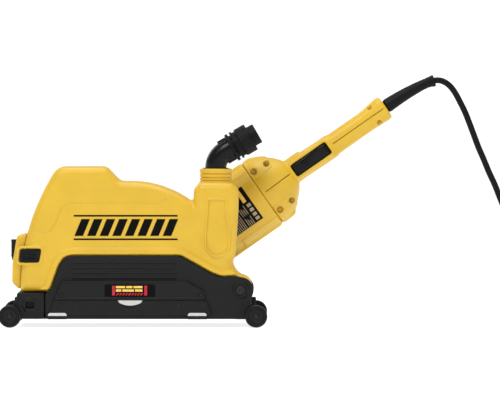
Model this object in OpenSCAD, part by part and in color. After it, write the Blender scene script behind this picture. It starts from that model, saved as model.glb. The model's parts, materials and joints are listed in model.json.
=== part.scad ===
// Wall chaser: a wheeled base, a plunging dust hood hinged at its rear, and a 230 mm angle grinder
// clamped to the hood's far side. The near side faces -Y, the handle points to +X and up.
// The origin is on the floor, under the middle of the machine without its cord.

/* [Base] */
// Front axle, from the middle of the machine
front_axle_x = -240.5; // [-242:0.5:-239]
// Rear axle, from the middle of the machine
rear_axle_x = 78; // [76:0.5:80]
// Wheel diameter
wheel_d = 29; // [27:0.5:30]
// Wheel width
wheel_w = 12; // [10:0.5:12]
// Underside of the sole above the floor
sole_z = 10.4; // [9.6:0.2:11]
// Thickness of the sole plate
sole_t = 3.6; // [3:0.2:3.8]
// Width of the slot that the disc cuts through
slot_w = 18; // [14:1:20]
// Top of the near side panel
panel_top = 92.8; // [90:0.4:93.2]
// Thickness of the side panels
panel_t = 3; // [2.4:0.2:3]

/* [Hinge] */
// Hinge axis of the hood, along X
pivot_x = 58; // [57:0.5:59]
// Hinge axis of the hood, above the floor
pivot_z = 48; // [47.5:0.5:49]
// Radius of the hinge bolt
bolt_r = 5; // [4:0.5:5.5]

/* [Hood] */
// Radius of the front wall about the hinge axis
front_r = 286; // [284:0.5:286]
// Radius of the rear wall, about a point close to the spindle
back_r = 133.5; // [132:0.5:134]
// Flat top of the hood
hood_top = 207.5; // [206:0.5:208]
// Wall thickness of the hood
hood_t = 3; // [2.6:0.2:3.2]

/* [Dust outlet] */
// Middle of the outlet tower, along X
tower_x = 25.5; // [25:0.5:26]
// Middle of the outlet tower, along Y
tower_y = -42; // [-43:0.5:-41]
// Outer radius of the elbow's tube
tube_r = 13.5; // [13:0.5:14]
// Outlet angle above the horizontal
outlet_angle = 30; // [20:5:40]

/* [Grinder] */
// Spindle axis, along X
spindle_x = -83.5; // [-84.5:0.5:-83]
// Spindle axis, above the floor with the hood closed
spindle_z = 52; // [52:0.5:53]
// Tilt of the motor axis above the horizontal
tilt = 35; // [33:1:37]
// Radius of the motor housing
motor_r = 47; // [46:0.5:47]
// From the spindle axis to the end of the handle
tool_len = 405; // [400:1:408]

/* [Cord] */
// Diameter of the cord
cord_d = 8; // [7.5:0.5:8.5]

/* [Hidden] */
$fn = 64;

black = [0.09, 0.09, 0.1];
yellow = [0.98, 0.72, 0.05];
steel = [0.72, 0.73, 0.75];
cast = [0.62, 0.63, 0.65];
copper = [0.72, 0.42, 0.2];

pivot = [pivot_x, pivot_z];
spindle_at = [spindle_x, spindle_z];
back_at = [-85, 55]; // middle of the hood's rear arc
wheel_r = wheel_d / 2;
axle_r = 3;
fit = 0.06; // radial clearance of a running fit
seat = 0.3; // gap between parts of different bodies
sole_top = sole_z + sole_t;

// Widths along Y, from the near side to the far side
disc_y = -36;
near_y = -74; // outer face of the near side panel
skin_y = near_y + panel_t + 1; // outer face of the hood behind that panel
split_y = -38; // where the hood's shells meet
hood_far_y = -6; // outer face of the far shell
far_y = 50; // far edge of the sole
motor_y = 42; // motor axis
wheel_gap = 2;
near_wheel_y = near_y - wheel_gap - wheel_w;
far_wheel_y = far_y + 1;

block_x = -232;
block_end_x = -196;
block_top = 44.6;
sole_end_x = 72;
ear_r = 17;
bolt_head_r = 6.2;
slot_x0 = -197;
slot_x1 = 27;
guard_r = 262;

tower_top = 181.5;
collar_z0 = 189.8;
collar_z1 = 204.8;
collar_r = 20.85;
duct_r = 15;
bend_z = 219.7; // where the elbow's two axes meet
bend_r = 24;
bend_len = bend_r * tan((90 - outlet_angle) / 2);
flange_at = 23.2; // along the outlet axis, from where the axes meet
flange_r = 19.2;
connector_at = 29.9;
connector_end = 62.4;
collar_at = 52.6; // where the connector's wide part ends
socket_end = 45; // where the elbow's tube ends inside the connector
inner_tube_r = 11.5;

seam_x = 207; // along the motor axis, where the field case ends
case_x = 75; // where it starts
shaft_r = 5;
neck_r = 28.5;
bearing_r = 17.5;
crown_teeth = 40;
pinion_teeth = 10;
mesh_r = 24; // from the spindle axis to the middle of the teeth
pinion_r = mesh_r * pinion_teeth / crown_teeth;
tooth_w = 0.9;
lock_x = -16; // the locking pin, along the motor axis
trigger_pin = [262, -6.4];
trigger_pin_r = 1.8;

coil_x = 512; // middle of the coil
coil_y = 0;
coil_inner = 35;
coil_cols = 3; // turns side by side
coil_rows = 4; // turns on top of each other
coil_outer = coil_inner + coil_cols * cord_d;
coil_h = coil_rows * cord_d;
boot_end = [310.5, motor_y, 319];
boot_start = [spindle_x + tool_len * cos(tilt), motor_y, spindle_z + tool_len * sin(tilt)];
// Route of the cord from the strain relief down to the top of the coil
route = [[313.5, 42, 319], [319.5, 42, 319], [326.5, 42, 316.5], [333.5, 42, 311], [339.5, 42, 303],
    [345.5, 42, 292], [352.5, 42, 278], [358.5, 42, 263], [364.5, 42, 247], [370.5, 42, 231],
    [377.5, 42, 215], [384.5, 42, 198], [391.5, 42, 183], [399.5, 43, 163], [408.5, 44, 141],
    [417.5, 45, 118], [428.5, 47, 95], [441, 49, 73.5], [456, 51, 55], [472.5, 53, 41],
    [491.5, 55, 31.5], [512, 55, 28]];
// Route of its last stretch, from the foot of the coil to the plug
tail = [[502, -55, 4], [492, -55, 5], [482, -55, 9], [472, -55, 12]];
plug_at = [472, -55, 13];

// A 2D outline in X and Z, made solid from y0 to y1
module slab(y0, y1) {
    translate([0, y1, 0])
        rotate([90, 0, 0])
            linear_extrude(y1 - y0) children();
}

// A cylinder along Y
module rod(at, y0, y1, r) {
    translate([at.x, y1, at.y])
        rotate([90, 0, 0])
            cylinder(r = r, h = y1 - y0);
}

module box(low, high) {
    translate(low) cube(high - low);
}

// Places its children on the grinder: +X along the motor axis, from the spindle axis to the handle
module tool() {
    translate([spindle_x, motor_y, spindle_z])
        rotate([0, -tilt, 0]) children();
}

// On the grinder, a cylinder along the motor axis
module barrel(x0, x1, r) {
    translate([x0, 0, 0])
        rotate([0, 90, 0])
            cylinder(r = r, h = x1 - x0);
}

// On the grinder, a body turned about the motor axis from [radius, position] points
module turned(points) {
    rotate([0, 90, 0])
        rotate_extrude()
            polygon(points);
}

// Places its children on the dust outlet, +Z out of the elbow's mouth
module outlet() {
    translate([tower_x, tower_y, bend_z])
        rotate([0, 90 - outlet_angle, 0]) children();
}

module ring(z0, z1, r_out, r_in) {
    translate([0, 0, z0])
        difference() {
            cylinder(r = r_out, h = z1 - z0);
            translate([0, 0, -1]) cylinder(r = r_in, h = z1 - z0 + 2);
        }
}

function unit(v) = v / norm(v);
function heading(p, i) = unit(p[min(i + 1, len(p) - 1)] - p[max(i - 1, 0)]);

// A tube along points; side is a direction that the points never run along
module tube(points, r, sides, side) {
    rings = [for (i = [0:len(points) - 1])
        let (t = heading(points, i), a = unit(cross(t, side)), b = cross(a, t))
        for (j = [0:sides - 1])
            points[i] + r * (cos(360 * j / sides) * a + sin(360 * j / sides) * b)];
    last = (len(points) - 1) * sides;
    skin = [for (i = [0:len(points) - 2], j = [0:sides - 1])
        let (k = (j + 1) % sides, m = i * sides, n = m + sides)
        for (face = [[m + j, m + k, n + k], [m + j, n + k, n + j]]) face];
    ends = [[for (j = [sides - 1:-1:0]) j], [for (j = [0:sides - 1]) last + j]];
    polyhedron(rings, concat(skin, ends));
}

// A helical spring along Y
module spring(r, wire_r, y0, y1, turns) {
    steps = 10;
    points = [for (i = [0:turns * steps])
        [r * cos(360 * i / steps), y0 + wire_r + (y1 - y0 - 2 * wire_r) * i / (turns * steps),
            r * sin(360 * i / steps)]];
    tube(points, wire_r, 6, [0, 1, 0]);
}

// ---- Outlines in X and Z ----

module panel_outline() {
    offset(r = 4)
        offset(delta = -4)
            polygon([[block_end_x + 1, sole_z], [block_end_x + 1, block_top], [-186.6, 51.4], [-177.5, 80.3],
                [-168, panel_top], [-20, panel_top], [20.7, 70], [33, 65.5], [pivot_x - 4, 66.5],
                [pivot_x + 14, 60], [74, 46], [sole_end_x, 34], [sole_end_x, sole_z]]);
    translate(pivot) circle(r = ear_r);
    translate([rear_axle_x, wheel_r]) circle(r = 8);
}

module hood_outline() {
    intersection() {
        translate(pivot) circle(r = front_r, $fn = 180);
        offset(r = 8)
            offset(delta = -8)
                polygon([[-250, block_top + 1], [-250, 190], [-225, 230], [-176, hood_top], [-116, hood_top],
                    [-98, 187], [back_at.x + 12, back_at.y + back_r - 1], [back_at.x + 12, 20], [-184, 20],
                    [-184, block_top + 1]]);
    }
    intersection() {
        translate(back_at) circle(r = back_r, $fn = 120);
        polygon([[back_at.x, 20], [back_at.x, 200], [70, 200], [70, 20]]);
    }
    polygon([[30, 100], [45, 92], [51, 74], [pivot_x, pivot_z + 19], [pivot_x - 18, pivot_z - 4], [30, 40]]);
    translate(pivot) circle(r = ear_r + 2);
}

module hood_inside() {
    difference() {
        offset(delta = -hood_t) hood_outline();
        translate(pivot) circle(r = ear_r + 2);
    }
    polygon([[-222, 30], [-222, 70], [-180, 70], [-180, 30]]);
    polygon([[-188, 10], [-188, 60], [36, 60], [36, 10]]);
}

module tower_outline() {
    offset(r = 3)
        offset(delta = -3)
            polygon([[-3, 130], [-3, 177], [2, tower_top], [50, tower_top], [55.3, 177], [55.3, 152],
                [51, 92], [38, 88]]);
}

module latch_outline(gap) {
    offset(delta = gap)
        offset(r = 3)
            offset(delta = -3)
                polygon([[-226, 100], [-201.5, 100], [-204, 83.5], [-227.5, 83.5]]);
}

// ---- Base ----

module wheel_lug(y0, y1, top) {
    for (x = [front_axle_x, rear_axle_x])
        difference() {
            union() {
                rod([x, wheel_r], y0, y1, 8);
                slab(y0, y1) polygon([[x, wheel_r - 4], [x, top], [x + (x < 0 ? 14 : -14), top],
                    [x + (x < 0 ? 14 : -14), sole_z + 1]]);
            }
            rod([x, wheel_r], y0 - 1, y1 + 1, axle_r);
        }
}

module base_frame() {
    color(black) {
        difference() {
            box([block_x, near_y + panel_t, sole_z], [sole_end_x, far_y, sole_top]);
            box([slot_x0, disc_y - slot_w / 2, 0], [slot_x1, disc_y + slot_w / 2, 20]);
        }
        difference() {
            slab(near_y, hood_far_y)
                polygon([[block_x, sole_z], [block_x, block_top - 3], [block_x + 3, block_top],
                    [block_end_x - 6, block_top], [block_end_x, block_top - 6], [block_end_x, sole_z]]);
            slab(near_y + 12, hood_far_y - 4)
                polygon([[block_x + 4, sole_top], [block_x + 4, 36], [block_end_x - 4, 36],
                    [block_end_x - 4, sole_top]]);
            box([-220.3, near_y - 1, 24.4], [-209.5, near_y + 8, 32.6]);
        }
        box([50, near_y + panel_t, sole_top], [sole_end_x, hood_far_y, 27]);
        box([block_x, far_y - 4, sole_top], [sole_end_x, far_y, sole_top + 3]);
        wheel_lug(far_y - 6, far_y, 34);
        difference() {
            slab(near_y, near_y + panel_t)
                hull() {
                    translate([front_axle_x, wheel_r]) circle(r = 8);
                    translate([block_x - 4, sole_z]) square([4.5, 16]);
                }
            rod([front_axle_x, wheel_r], near_y - 5, near_y + 10, axle_r);
        }
    }
}

module near_panel() {
    color(black)
        difference() {
            union() {
                slab(near_y, near_y + panel_t) panel_outline();
                for (i = [0:3])
                    box([-159.7, near_y - 1.2, 82.5 - 6.6 * i], [-26, near_y + 0.5, 85.6 - 6.6 * i]);
                rod(pivot, near_y - 1.5, near_y + 1, 10.8);
            }
            rod(pivot, near_y - 5, near_y + 10, bolt_r);
            rod(pivot, near_y - 5, near_y - 0.5, bolt_head_r + 0.3);
            rod([rear_axle_x, wheel_r], near_y - 5, near_y + 10, axle_r);
        }
}

module far_panel() {
    color(black)
        difference() {
            union() {
                slab(hood_far_y + 1, hood_far_y + 5) {
                    polygon([[block_x, sole_top], [block_x, 40], [-225, 58], [-150, 58], [-136, 30],
                        [-136, sole_top]]);
                    translate([-140, sole_top]) square([140, 2]);
                    polygon([[-8, sole_top], [0, 28], [40, 58], [pivot_x, 60], [70, 50],
                        [sole_end_x, sole_top]]);
                    translate(pivot) circle(r = ear_r);
                }
                rod(pivot, hood_far_y + 4, hood_far_y + 9, 9);
            }
            rod(pivot, hood_far_y - 1, hood_far_y + 12, bolt_r);
        }
}

module cover_plate() {
    color(black)
        difference() {
            slab(near_y - 4, near_y)
                offset(r = 2)
                    offset(delta = -2)
                        polygon([[-184.5, 35], [-173.3, 59.9], [-11.5, 59.9], [12, 46.5], [12, 35]]);
            slab(near_y - 5, near_y - 3.2)
                polygon([[-168, 39], [-161, 56.5], [-16, 56.5], [2, 46], [2, 39]]);
            for (at = [[-174.7, 41.1], [7, 41.5]]) rod(at, near_y - 5, near_y + 1, 1.6);
        }
}

module panel_label() {
    color([0.8, 0.1, 0.08])
        slab(near_y - 3.7, near_y - 3.2)
            offset(r = 2)
                offset(delta = -2)
                    polygon([[-118, 39.5], [-118, 55.4], [-52.6, 55.4], [-52.6, 39.5]]);
}

module skirt_strip() {
    color(black)
        difference() {
            slab(near_y - 3.5, near_y)
                polygon([[-188.5, 16], [-185, 34.7], [13.6, 34.7], [21, 16]]);
            translate([back_at.x, near_y - 1.5, 42])
                rotate([90, 0, 0]) cylinder(r = 18.5, h = 5);
        }
}

module skid_tabs() {
    color(steel)
        for (x = [-191.4, -10.5])
            box([x, near_y - 5.5, sole_z], [x + 24.5, near_y - 3.5, 18.7]);
}

module base_screws() {
    color(steel) {
        for (at = [[-174.7, 41.1], [7, 41.5]])
            rod(at, near_y - 4.6, near_y, 1.5);
        for (x = [-180, -155.3, -22, 9.6])
            rod([x, 32], near_y - 3.9, near_y - 3.5, 1.5);
    }
}

// Fixed guard that closes the front of the hood when the hood is raised
module front_guard() {
    color(black) {
        slab(-63, -13)
            intersection() {
                translate(pivot)
                    difference() {
                        circle(r = guard_r + 1.5, $fn = 180);
                        circle(r = guard_r - 1.5, $fn = 180);
                    }
                polygon([pivot, pivot - [400, pivot_z - block_top], pivot + [-400, 213]]);
            }
    }
}

module wheel_axles() {
    color(steel)
        for (x = [front_axle_x, rear_axle_x])
            rod([x, wheel_r], near_wheel_y - 0.5, far_wheel_y + wheel_w + 0.5, axle_r);
}

module pivot_bolt() {
    color(steel) {
        difference() {
            rod(pivot, near_y - 2.2, near_y - 0.5, bolt_head_r);
            rod(pivot, near_y - 3, near_y - 1.2, 2.9, $fn = 6);
        }
        rod(pivot, near_y - 0.5, hood_far_y + 13, bolt_r);
        rod(pivot, hood_far_y + 9, hood_far_y + 13, 8);
    }
}

module pivot_spring() {
    color(steel)
        translate([pivot_x, 0, pivot_z])
            spring(9.5, 1.2, -60, -18, 8);
}

module wheel(x, y) {
    color(black)
        translate([x, y + wheel_w, wheel_r])
            rotate([90, 0, 0])
                difference() {
                    rotate_extrude()
                        polygon([[axle_r + fit, 0], [axle_r + fit, wheel_w], [wheel_r * 0.62, wheel_w],
                            [wheel_r * 0.66, wheel_w - 1], [wheel_r * 0.8, wheel_w - 1],
                            [wheel_r * 0.84, wheel_w], [wheel_r - 1.2, wheel_w], [wheel_r, wheel_w - 1.2],
                            [wheel_r, 1.2], [wheel_r - 1.2, 0]]);
                }
}

module wheel_front_near() {
    wheel(front_axle_x, near_wheel_y);
}

module wheel_front_far() {
    wheel(front_axle_x, far_wheel_y);
}

module wheel_rear_near() {
    wheel(rear_axle_x, near_wheel_y);
}

module wheel_rear_far() {
    wheel(rear_axle_x, far_wheel_y);
}

// ---- Hood ----

clamp_places = [for (a = [90, 210, 330]) spindle_at + (neck_r + 9.5) * [cos(a), sin(a)]];
boss_places = [[-150, 185], [-70, 176], [-207, 125]];

module duct_window() {
    slab(-64, -20) polygon([[6, 96], [6, 176], [44, 176], [44, 96]]);
}

module hood_near() {
    color(yellow)
        difference() {
            union() {
                slab(skin_y, skin_y + hood_t) hood_outline();
                slab(skin_y + hood_t, split_y)
                    difference() {
                        hood_outline();
                        hood_inside();
                    }
                slab(near_y, skin_y)
                    difference() {
                        hood_outline();
                        offset(delta = 1.2) panel_outline();
                        translate(pivot) circle(r = 26);
                    }
                for (at = boss_places) rod(at, skin_y + 1, split_y, 5);
                box([-223, -60, 86], [-208, -57, 98]);
            }
            duct_window();
            rod(pivot, near_y, split_y + 1, bolt_r + fit);
            rod(pivot, -64, split_y + 1, 14);
            for (at = boss_places) rod(at, -50, split_y + 1, 1.7);
            slab(near_y - 1, skin_y + hood_t + 2) latch_outline(0.4);
        }
}

module hood_far() {
    color(yellow)
        difference() {
            union() {
                slab(hood_far_y - hood_t, hood_far_y) hood_outline();
                slab(split_y, hood_far_y - hood_t)
                    difference() {
                        hood_outline();
                        hood_inside();
                    }
                for (at = boss_places) rod(at, split_y, hood_far_y - 1, 5);
            }
            duct_window();
            rod(pivot, split_y - 1, hood_far_y + 1, bolt_r + fit);
            rod(pivot, split_y - 1, -12, 14);
            rod(spindle_at, hood_far_y - 10, hood_far_y + 1, neck_r);
            for (at = clamp_places) rod(at, hood_far_y - 10, hood_far_y + 1, 2.5);
            for (at = boss_places) rod(at, split_y - 1, hood_far_y + 1, 1.7);
        }
}

// Rail on the front wall that guides the depth stop
module front_cover() {
    color(yellow)
        difference() {
            slab(-62, -14)
                difference() {
                    polygon([[-232.2, 117.5], [-219, 121], [-220, 48], [-231.3, 50], [-238.6, 57.3],
                        [-238.2, 81]]);
                    translate(pivot) circle(r = front_r, $fn = 180);
                }
            box([-242, -44.5, 58], [-231, -31.5, 118]);
        }
}

module hood_screws() {
    color(steel) {
        for (at = boss_places) {
            rod(at, -50, hood_far_y, 1.7);
            rod(at, hood_far_y, hood_far_y + 2, 3.4);
        }
        for (at = clamp_places) {
            rod(at, hood_far_y - hood_t - 3, hood_far_y + 4, 2.5);
            rod(at, hood_far_y + 4, hood_far_y + 8, 4.3, $fn = 6);
        }
    }
}

module hood_emblem() {
    color(black)
        for (z = [112.8, 143.2])
            box([-158, near_y - 0.5, z], [-23.6, near_y, z + 2.1]);
}

module latch_button() {
    color(black)
        slab(near_y - 2.2, skin_y + 1) latch_outline(0);
}

module depth_slider() {
    color(black) {
        box([-240.5, -44, 84.6], [-231.5, -32, 112.6]);
    }
}

module dust_tower() {
    color(yellow)
        difference() {
            union() {
                slab(-72, -12)
                    difference() {
                        tower_outline();
                        hood_outline();
                    }
                translate([tower_x, tower_y, tower_top - 0.5])
                    cylinder(r = 19, h = collar_z0 - tower_top + 0.5);
            }
            slab(-69, -15)
                intersection() {
                    offset(delta = -3) tower_outline();
                    polygon([[-20, 80], [-20, tower_top - 3], [70, tower_top - 3], [70, 80]]);
                }
            duct_window();
            translate([tower_x, tower_y, tower_top - 6]) cylinder(r = duct_r, h = 30);
        }
}

module tower_collar() {
    color(yellow)
        translate([tower_x, tower_y, 0])
            rotate_extrude()
                polygon([[tube_r + fit, collar_z0], [tube_r + fit, collar_z1], [collar_r - 1, collar_z1],
                    [collar_r, collar_z1 - 1], [collar_r, 198.9], [collar_r - 1.4, 198.9],
                    [collar_r - 1.4, 197.3], [collar_r, 197.3], [collar_r, 194], [collar_r - 1.4, 194],
                    [collar_r - 1.4, 192.4], [collar_r, 192.4], [collar_r, collar_z0]]);
}

module elbow_seal() {
    color([0.03, 0.03, 0.03])
        translate([tower_x, tower_y, 0])
            ring(collar_z1 + 0.1, bend_z - bend_len, 16.4, tube_r);
}

// The elbow's path as a solid of radius r, with its bend a little fatter by swell
module bent(r, low, high, swell) {
    translate([tower_x, tower_y, low]) cylinder(r = r, h = bend_z - bend_len - low + 0.5);
    translate([tower_x + bend_r, tower_y, bend_z - bend_len])
        rotate([90, 0, 0])
            rotate([0, 0, 90 + outlet_angle])
                rotate_extrude(angle = 90 - outlet_angle)
                    translate([bend_r, 0]) circle(r = r + swell);
    outlet() translate([0, 0, bend_len - 0.5]) cylinder(r = r, h = high - bend_len + 0.5);
}

module elbow() {
    color(black)
        difference() {
            bent(tube_r, collar_z0 + 2, socket_end, 0.6);
            bent(inner_tube_r, collar_z0 - 5, socket_end + 5, -0.1);
        }
}

module elbow_flange() {
    color(black)
        outlet() {
            ring(flange_at, flange_at + 4, flange_r, tube_r);
            ring(flange_at + 4, connector_at - seat, 15.5, tube_r);
        }
}

module hose_connector() {
    color(black)
        outlet()
            difference() {
                union() {
                    translate([0, 0, connector_at]) cylinder(r = flange_r, h = 3);
                    translate([0, 0, connector_at]) cylinder(r = 17, h = 10);
                    translate([0, 0, 36.9]) cylinder(r = 18.85, h = collar_at - 36.9);
                    translate([0, 0, collar_at - 1]) cylinder(r = tube_r, h = connector_end - collar_at + 1);
                }
                translate([0, 0, connector_at - 1])
                    cylinder(r = tube_r + fit, h = socket_end + 0.5 - connector_at + 1);
                translate([0, 0, 40]) cylinder(r = inner_tube_r, h = 30);
            }
}

// Split ring that clamps the grinder's neck to the hood
module mount_clamp() {
    color(cast)
        difference() {
            union() {
                rod(spindle_at, hood_far_y, hood_far_y + 9, neck_r + 5);
                for (at = clamp_places) rod(at, hood_far_y, hood_far_y + 4, 6);
                for (z = [2, -10])
                    translate([spindle_x, hood_far_y, spindle_z + z]) box([-48, 1, 0], [-neck_r - 2, 9, 8]);
            }
            rod(spindle_at, hood_far_y - 1, hood_far_y + 12, neck_r);
            box([spindle_x - 50, hood_far_y - 1, spindle_z - 2], [spindle_x - 25, hood_far_y + 12,
                spindle_z + 2]);
            for (at = clamp_places) rod(at, hood_far_y - 1, hood_far_y + 12, 2.5);
        }
}

// ---- Grinder ----
// On the grinder the spindle runs along Y, and y is 0 on the motor axis.

module gear_case() {
    color(cast)
        tool()
            difference() {
                union() {
                    difference() {
                        hull() {
                            barrel(case_x - 4, case_x, motor_r, $fn = 48);
                            rod([-4, 0], -34, 38, 32, $fn = 48);
                            rod([-2, 0], -30, 34, 33.5, $fn = 48);
                        }
                        rod([0, 0], -60, -38.6, 47);
                    }
                    rod([0, 0], -54, -30, neck_r);
                    rod([28, 0], 28, 44, 10);
                }
                rod([0, 0], -30, 8, 30.5);
                rod([0, 0], -55, -48, 25);
                rod([0, 0], -48.5, -30, bearing_r);
                rod([0, 0], 7, 20, 8 + fit);
                barrel(5, 50, 15);
                barrel(48, 60, 13);
                barrel(59.9, case_x + 1, 42);
                rod([lock_x, 0], 0, 45, 2.7 + fit);
                rod([lock_x, 0], 26, 45, 6);
                rod([lock_x, 0], 35, 50, 7.4);
                rod([28, 0], 32, 45, 6);
            }
}

module bearing_cover() {
    color(cast)
        tool()
            difference() {
                union() {
                    rod([0, 0], -54, -48, 25);
                    rod([0, 0], -58, -54, 22);
                }
                rod([0, 0], -59, -47, 13);
            }
}

module spindle_bearing() {
    color(steel)
        tool()
            difference() {
                rod([0, 0], -48, -36, bearing_r);
                rod([0, 0], -49, -35, 10 + fit);
                difference() {
                    rod([0, 0], -49, -46.5, 15);
                    rod([0, 0], -49, -46.5, 12.5);
                }
            }
}

module spindle() {
    color(steel)
        tool() {
            rod([0, 0], -90, -70, 7);
            rod([0, 0], -70, -30, 10);
            rod([0, 0], -30, 19, 8);
        }
}

module crown_gear() {
    color(steel)
        tool()
            difference() {
                union() {
                    rod([0, 0], -16, -7.4, 29);
                    rod([0, 0], -24, -16, 15);
                    for (i = [0:crown_teeth - 1])
                        rotate([0, (i + 0.5) * 360 / crown_teeth, 0])
                            box([mesh_r - 2, -7.5, -tooth_w / 2], [mesh_r + 4, -5.2, tooth_w / 2]);
                }
                rod([0, 0], -25, 0, 8);
                for (a = [0:45:315]) rotate([0, a, 0]) rod([lock_x, 0], -25, 0, 3.2);
            }
}

module disc_flange() {
    color(steel)
        tool()
            difference() {
                union() {
                    rod([0, 0], -76.5, -71, 21);
                    rod([0, 0], -71, -63, 14);
                }
                rod([0, 0], -80, -70, 7);
                rod([0, 0], -70, -62, 10);
            }
}

module disc_nut() {
    color(steel)
        tool()
            difference() {
                union() {
                    rod([0, 0], -86, -79.5, 20);
                    rod([0, 0], -79.5, -77.5, 11);
                }
                rod([0, 0], -90, -70, 7);
                for (a = [45:90:315]) rotate([0, a, 0]) rod([15, 0], -90, -82, 2.5);
            }
}

module field_case() {
    color(yellow)
        tool()
            difference() {
                union() {
                    barrel(case_x, seam_x, motor_r);
                    translate([0, 0, 39]) box([150, -16, 0], [seam_x - 2, 16, 11]);
                }
                barrel(case_x - 1, seam_x - 14, motor_r - 3.5);
                barrel(seam_x - 15, seam_x + 1, 11);
                difference() {
                    barrel(seam_x - 15, seam_x + 1, motor_r - 3.5);
                    barrel(seam_x - 14, seam_x + 1, 15);
                    for (a = [45, 135]) rotate([a, 0, 0]) box([seam_x - 14, -50, -4], [seam_x, 50, 4]);
                }
            }
}

rear_profile = [[47, 207], [48, 212], [47, 219], [43, 227], [36.5, 234], [28, 240], [21, 246], [17.4, 252],
    [16.5, 258], [16.5, 317], [14.8, 323], [14.7, 370], [17.5, 398], [17.5, tool_len]];
rear_inside = [[0, tool_len - 3], [14.5, tool_len - 3], [12, 370], [12, 323], [13.9, 317], [13.9, 256],
    [18.5, 246], [33, 234], [40, 226], [44, 218], [44.4, 206], [0, 206]];

screw_places = [[214, 30], [214, -30], [233.5, 27], [233.5, -27], [386.5, 12], [386.5, -12]];

function head_r(at) = at.x > 300 ? 2.4 : at.x > 220 ? 3.2 : 3.8;
function head_y(at) = at.x > 300 ? -6 : at.x > 220 ? -12 : -15;

module rear_shell(y0, y1) {
    intersection() {
        difference() {
            turned(concat([[0, tool_len], [0, seam_x]], rear_profile));
            difference() {
                turned(rear_inside);
                for (at = screw_places) rod(at, -60, 60, head_r(at) + 1.6);
            }
            barrel(tool_len - 5, tool_len + 1, 7.3);
            for (at = screw_places) rod(at, -12, 9, 1.7);
        }
        box([seam_x - 10, y0, -60], [tool_len + 10, y1, 60]);
    }
}

module rear_near() {
    color(yellow)
        tool()
            difference() {
                rear_shell(-60, 0);
                box([257.4, -30, -8.9], [313.2, -8, 8.9]);
                for (at = screw_places) rod(at, -60, head_y(at) + 3, head_r(at) + 0.1);
            }
}

module rear_far() {
    color(yellow)
        tool()
            difference() {
                rear_shell(0, 60);
                rod([285, 0], 8, 30, 5.2);
            }
}

module housing_screws() {
    color(steel)
        tool()
            for (at = screw_places) {
                rod(at, head_y(at), head_y(at) + 3, head_r(at));
                rod(at, head_y(at) + 2, 9, 1.7);
            }
}

module rating_label() {
    color(black)
        tool()
            intersection() {
                difference() {
                    barrel(135, 190, motor_r + 0.6);
                    barrel(134, 191, motor_r);
                }
                box([130, -60, -29], [200, 0, 24]);
            }
}

module stator() {
    color(copper)
        tool()
            difference() {
                barrel(95, 152, motor_r - 3.6);
                barrel(94, 153, 24.5);
            }
}

module armature() {
    color(copper)
        tool() {
            barrel(18, 206, shaft_r - 1);
            barrel(98, 150, 23.5);
            barrel(162, 184, 13);
        }
}

module fan() {
    color(black)
        tool()
            difference() {
                union() {
                    barrel(63, 66, 39);
                    barrel(62, 74, 9);
                    for (a = [0:30:330]) rotate([a, 0, 0]) box([65.5, -1, 12], [73, 1, 38]);
                }
                barrel(60, 76, shaft_r - 1);
            }
}

module pinion() {
    color(steel)
        tool()
            difference() {
                union() {
                    barrel(19, 46, pinion_r - 1.2);
                    for (i = [0:pinion_teeth - 1])
                        rotate([180 + i * 360 / pinion_teeth, 0, 0])
                            box([22, 4, -tooth_w / 2], [28, pinion_r + 1.1, tooth_w / 2]);
                }
                barrel(18, 47, shaft_r - 1);
            }
}

module armature_bearings() {
    color(steel)
        tool() {
            difference() {
                barrel(48, 60, 13);
                barrel(47, 61, shaft_r - 1 + fit);
            }
            difference() {
                barrel(seam_x - 13, seam_x - 1, 11);
                barrel(seam_x - 14, seam_x, shaft_r - 1 + fit);
            }
        }
}

module brush_holders() {
    color([0.75, 0.6, 0.3])
        tool()
            for (s = [-1, 1])
                difference() {
                    box([166, -6, s > 0 ? 15 : -42], [180, 6, s > 0 ? 42 : -15]);
                    box([168.5, -3.5, s > 0 ? 14 : -38], [177.5, 3.5, s > 0 ? 38 : -14]);
                }
}

module carbon_brushes() {
    color([0.2, 0.2, 0.22])
        tool()
            for (s = [-1, 1])
                box([168.7, -3.3, s > 0 ? 13.3 : -30], [177.3, 3.3, s > 0 ? 30 : -13.3]);
}

// Pins on both sides of the trigger, on its hinge axis
module trigger_pins(r) {
    translate([trigger_pin.x, trigger_pin.y, -10.4]) cylinder(r = r, h = 20.8);
}

module switch() {
    color(black)
        tool() {
            box([266, -3, -8], [312, 6.5, 8]);
            difference() {
                for (side = [-1, 1])
                    translate([0, 0, side * 9.4]) box([258.5, -9, -0.5], [267, 0, 0.5]);
                trigger_pins(trigger_pin_r + fit);
            }
        }
}

module trigger() {
    color(black)
        tool() {
            box([258, -18.5, -8.3], [311.5, -9.5, 8.3]);
            box([258, -9.6, -8.3], [265.5, -4, 8.3]);
            trigger_pins(trigger_pin_r);
        }
}

module lock_button() {
    color(black)
        tool() {
            rod([285, 0], 10.2, 18.6, 5);
            rod([285, 0], 10.2, 11.6, 6.4);
        }
}

module return_springs() {
    color(steel) {
        tool() {
            translate([303, 0, 0]) spring(2.6, 0.4, -9.3, -3.1, 4);
            translate([lock_x, 0, 0]) spring(4.4, 0.5, 26.2, 41.2, 5);
        }
        translate([-214, 0, 92]) spring(4, 0.6, skin_y + 1.2, skin_y + 9.9, 4);
    }
}

module spindle_lock() {
    color(black)
        tool() {
            rod([lock_x, 0], -3, 42, 2.7);
            rod([lock_x, 0], 41.5, 47, 7);
        }
}

module cord_clamp() {
    color(black)
        tool()
            difference() {
                box([376, -8, -7], [382, 8, 7]);
                barrel(375, 383, 4);
            }
}

module cord_boot() {
    boot_len = norm(boot_end - boot_start);
    color(black)
        translate(boot_start)
            rotate([0, 90 - atan2(boot_end.z - boot_start.z, boot_end.x - boot_start.x), 0])
                rotate_extrude()
                    polygon([[0, -8], [6, -8], [6, 1], [9.3, 1], [8.6, 12], [6.6, 40], [5.4, 58],
                        [5.8, 66], [6.7, boot_len], [0, boot_len]]);
}

// ---- Cord ----

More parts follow.
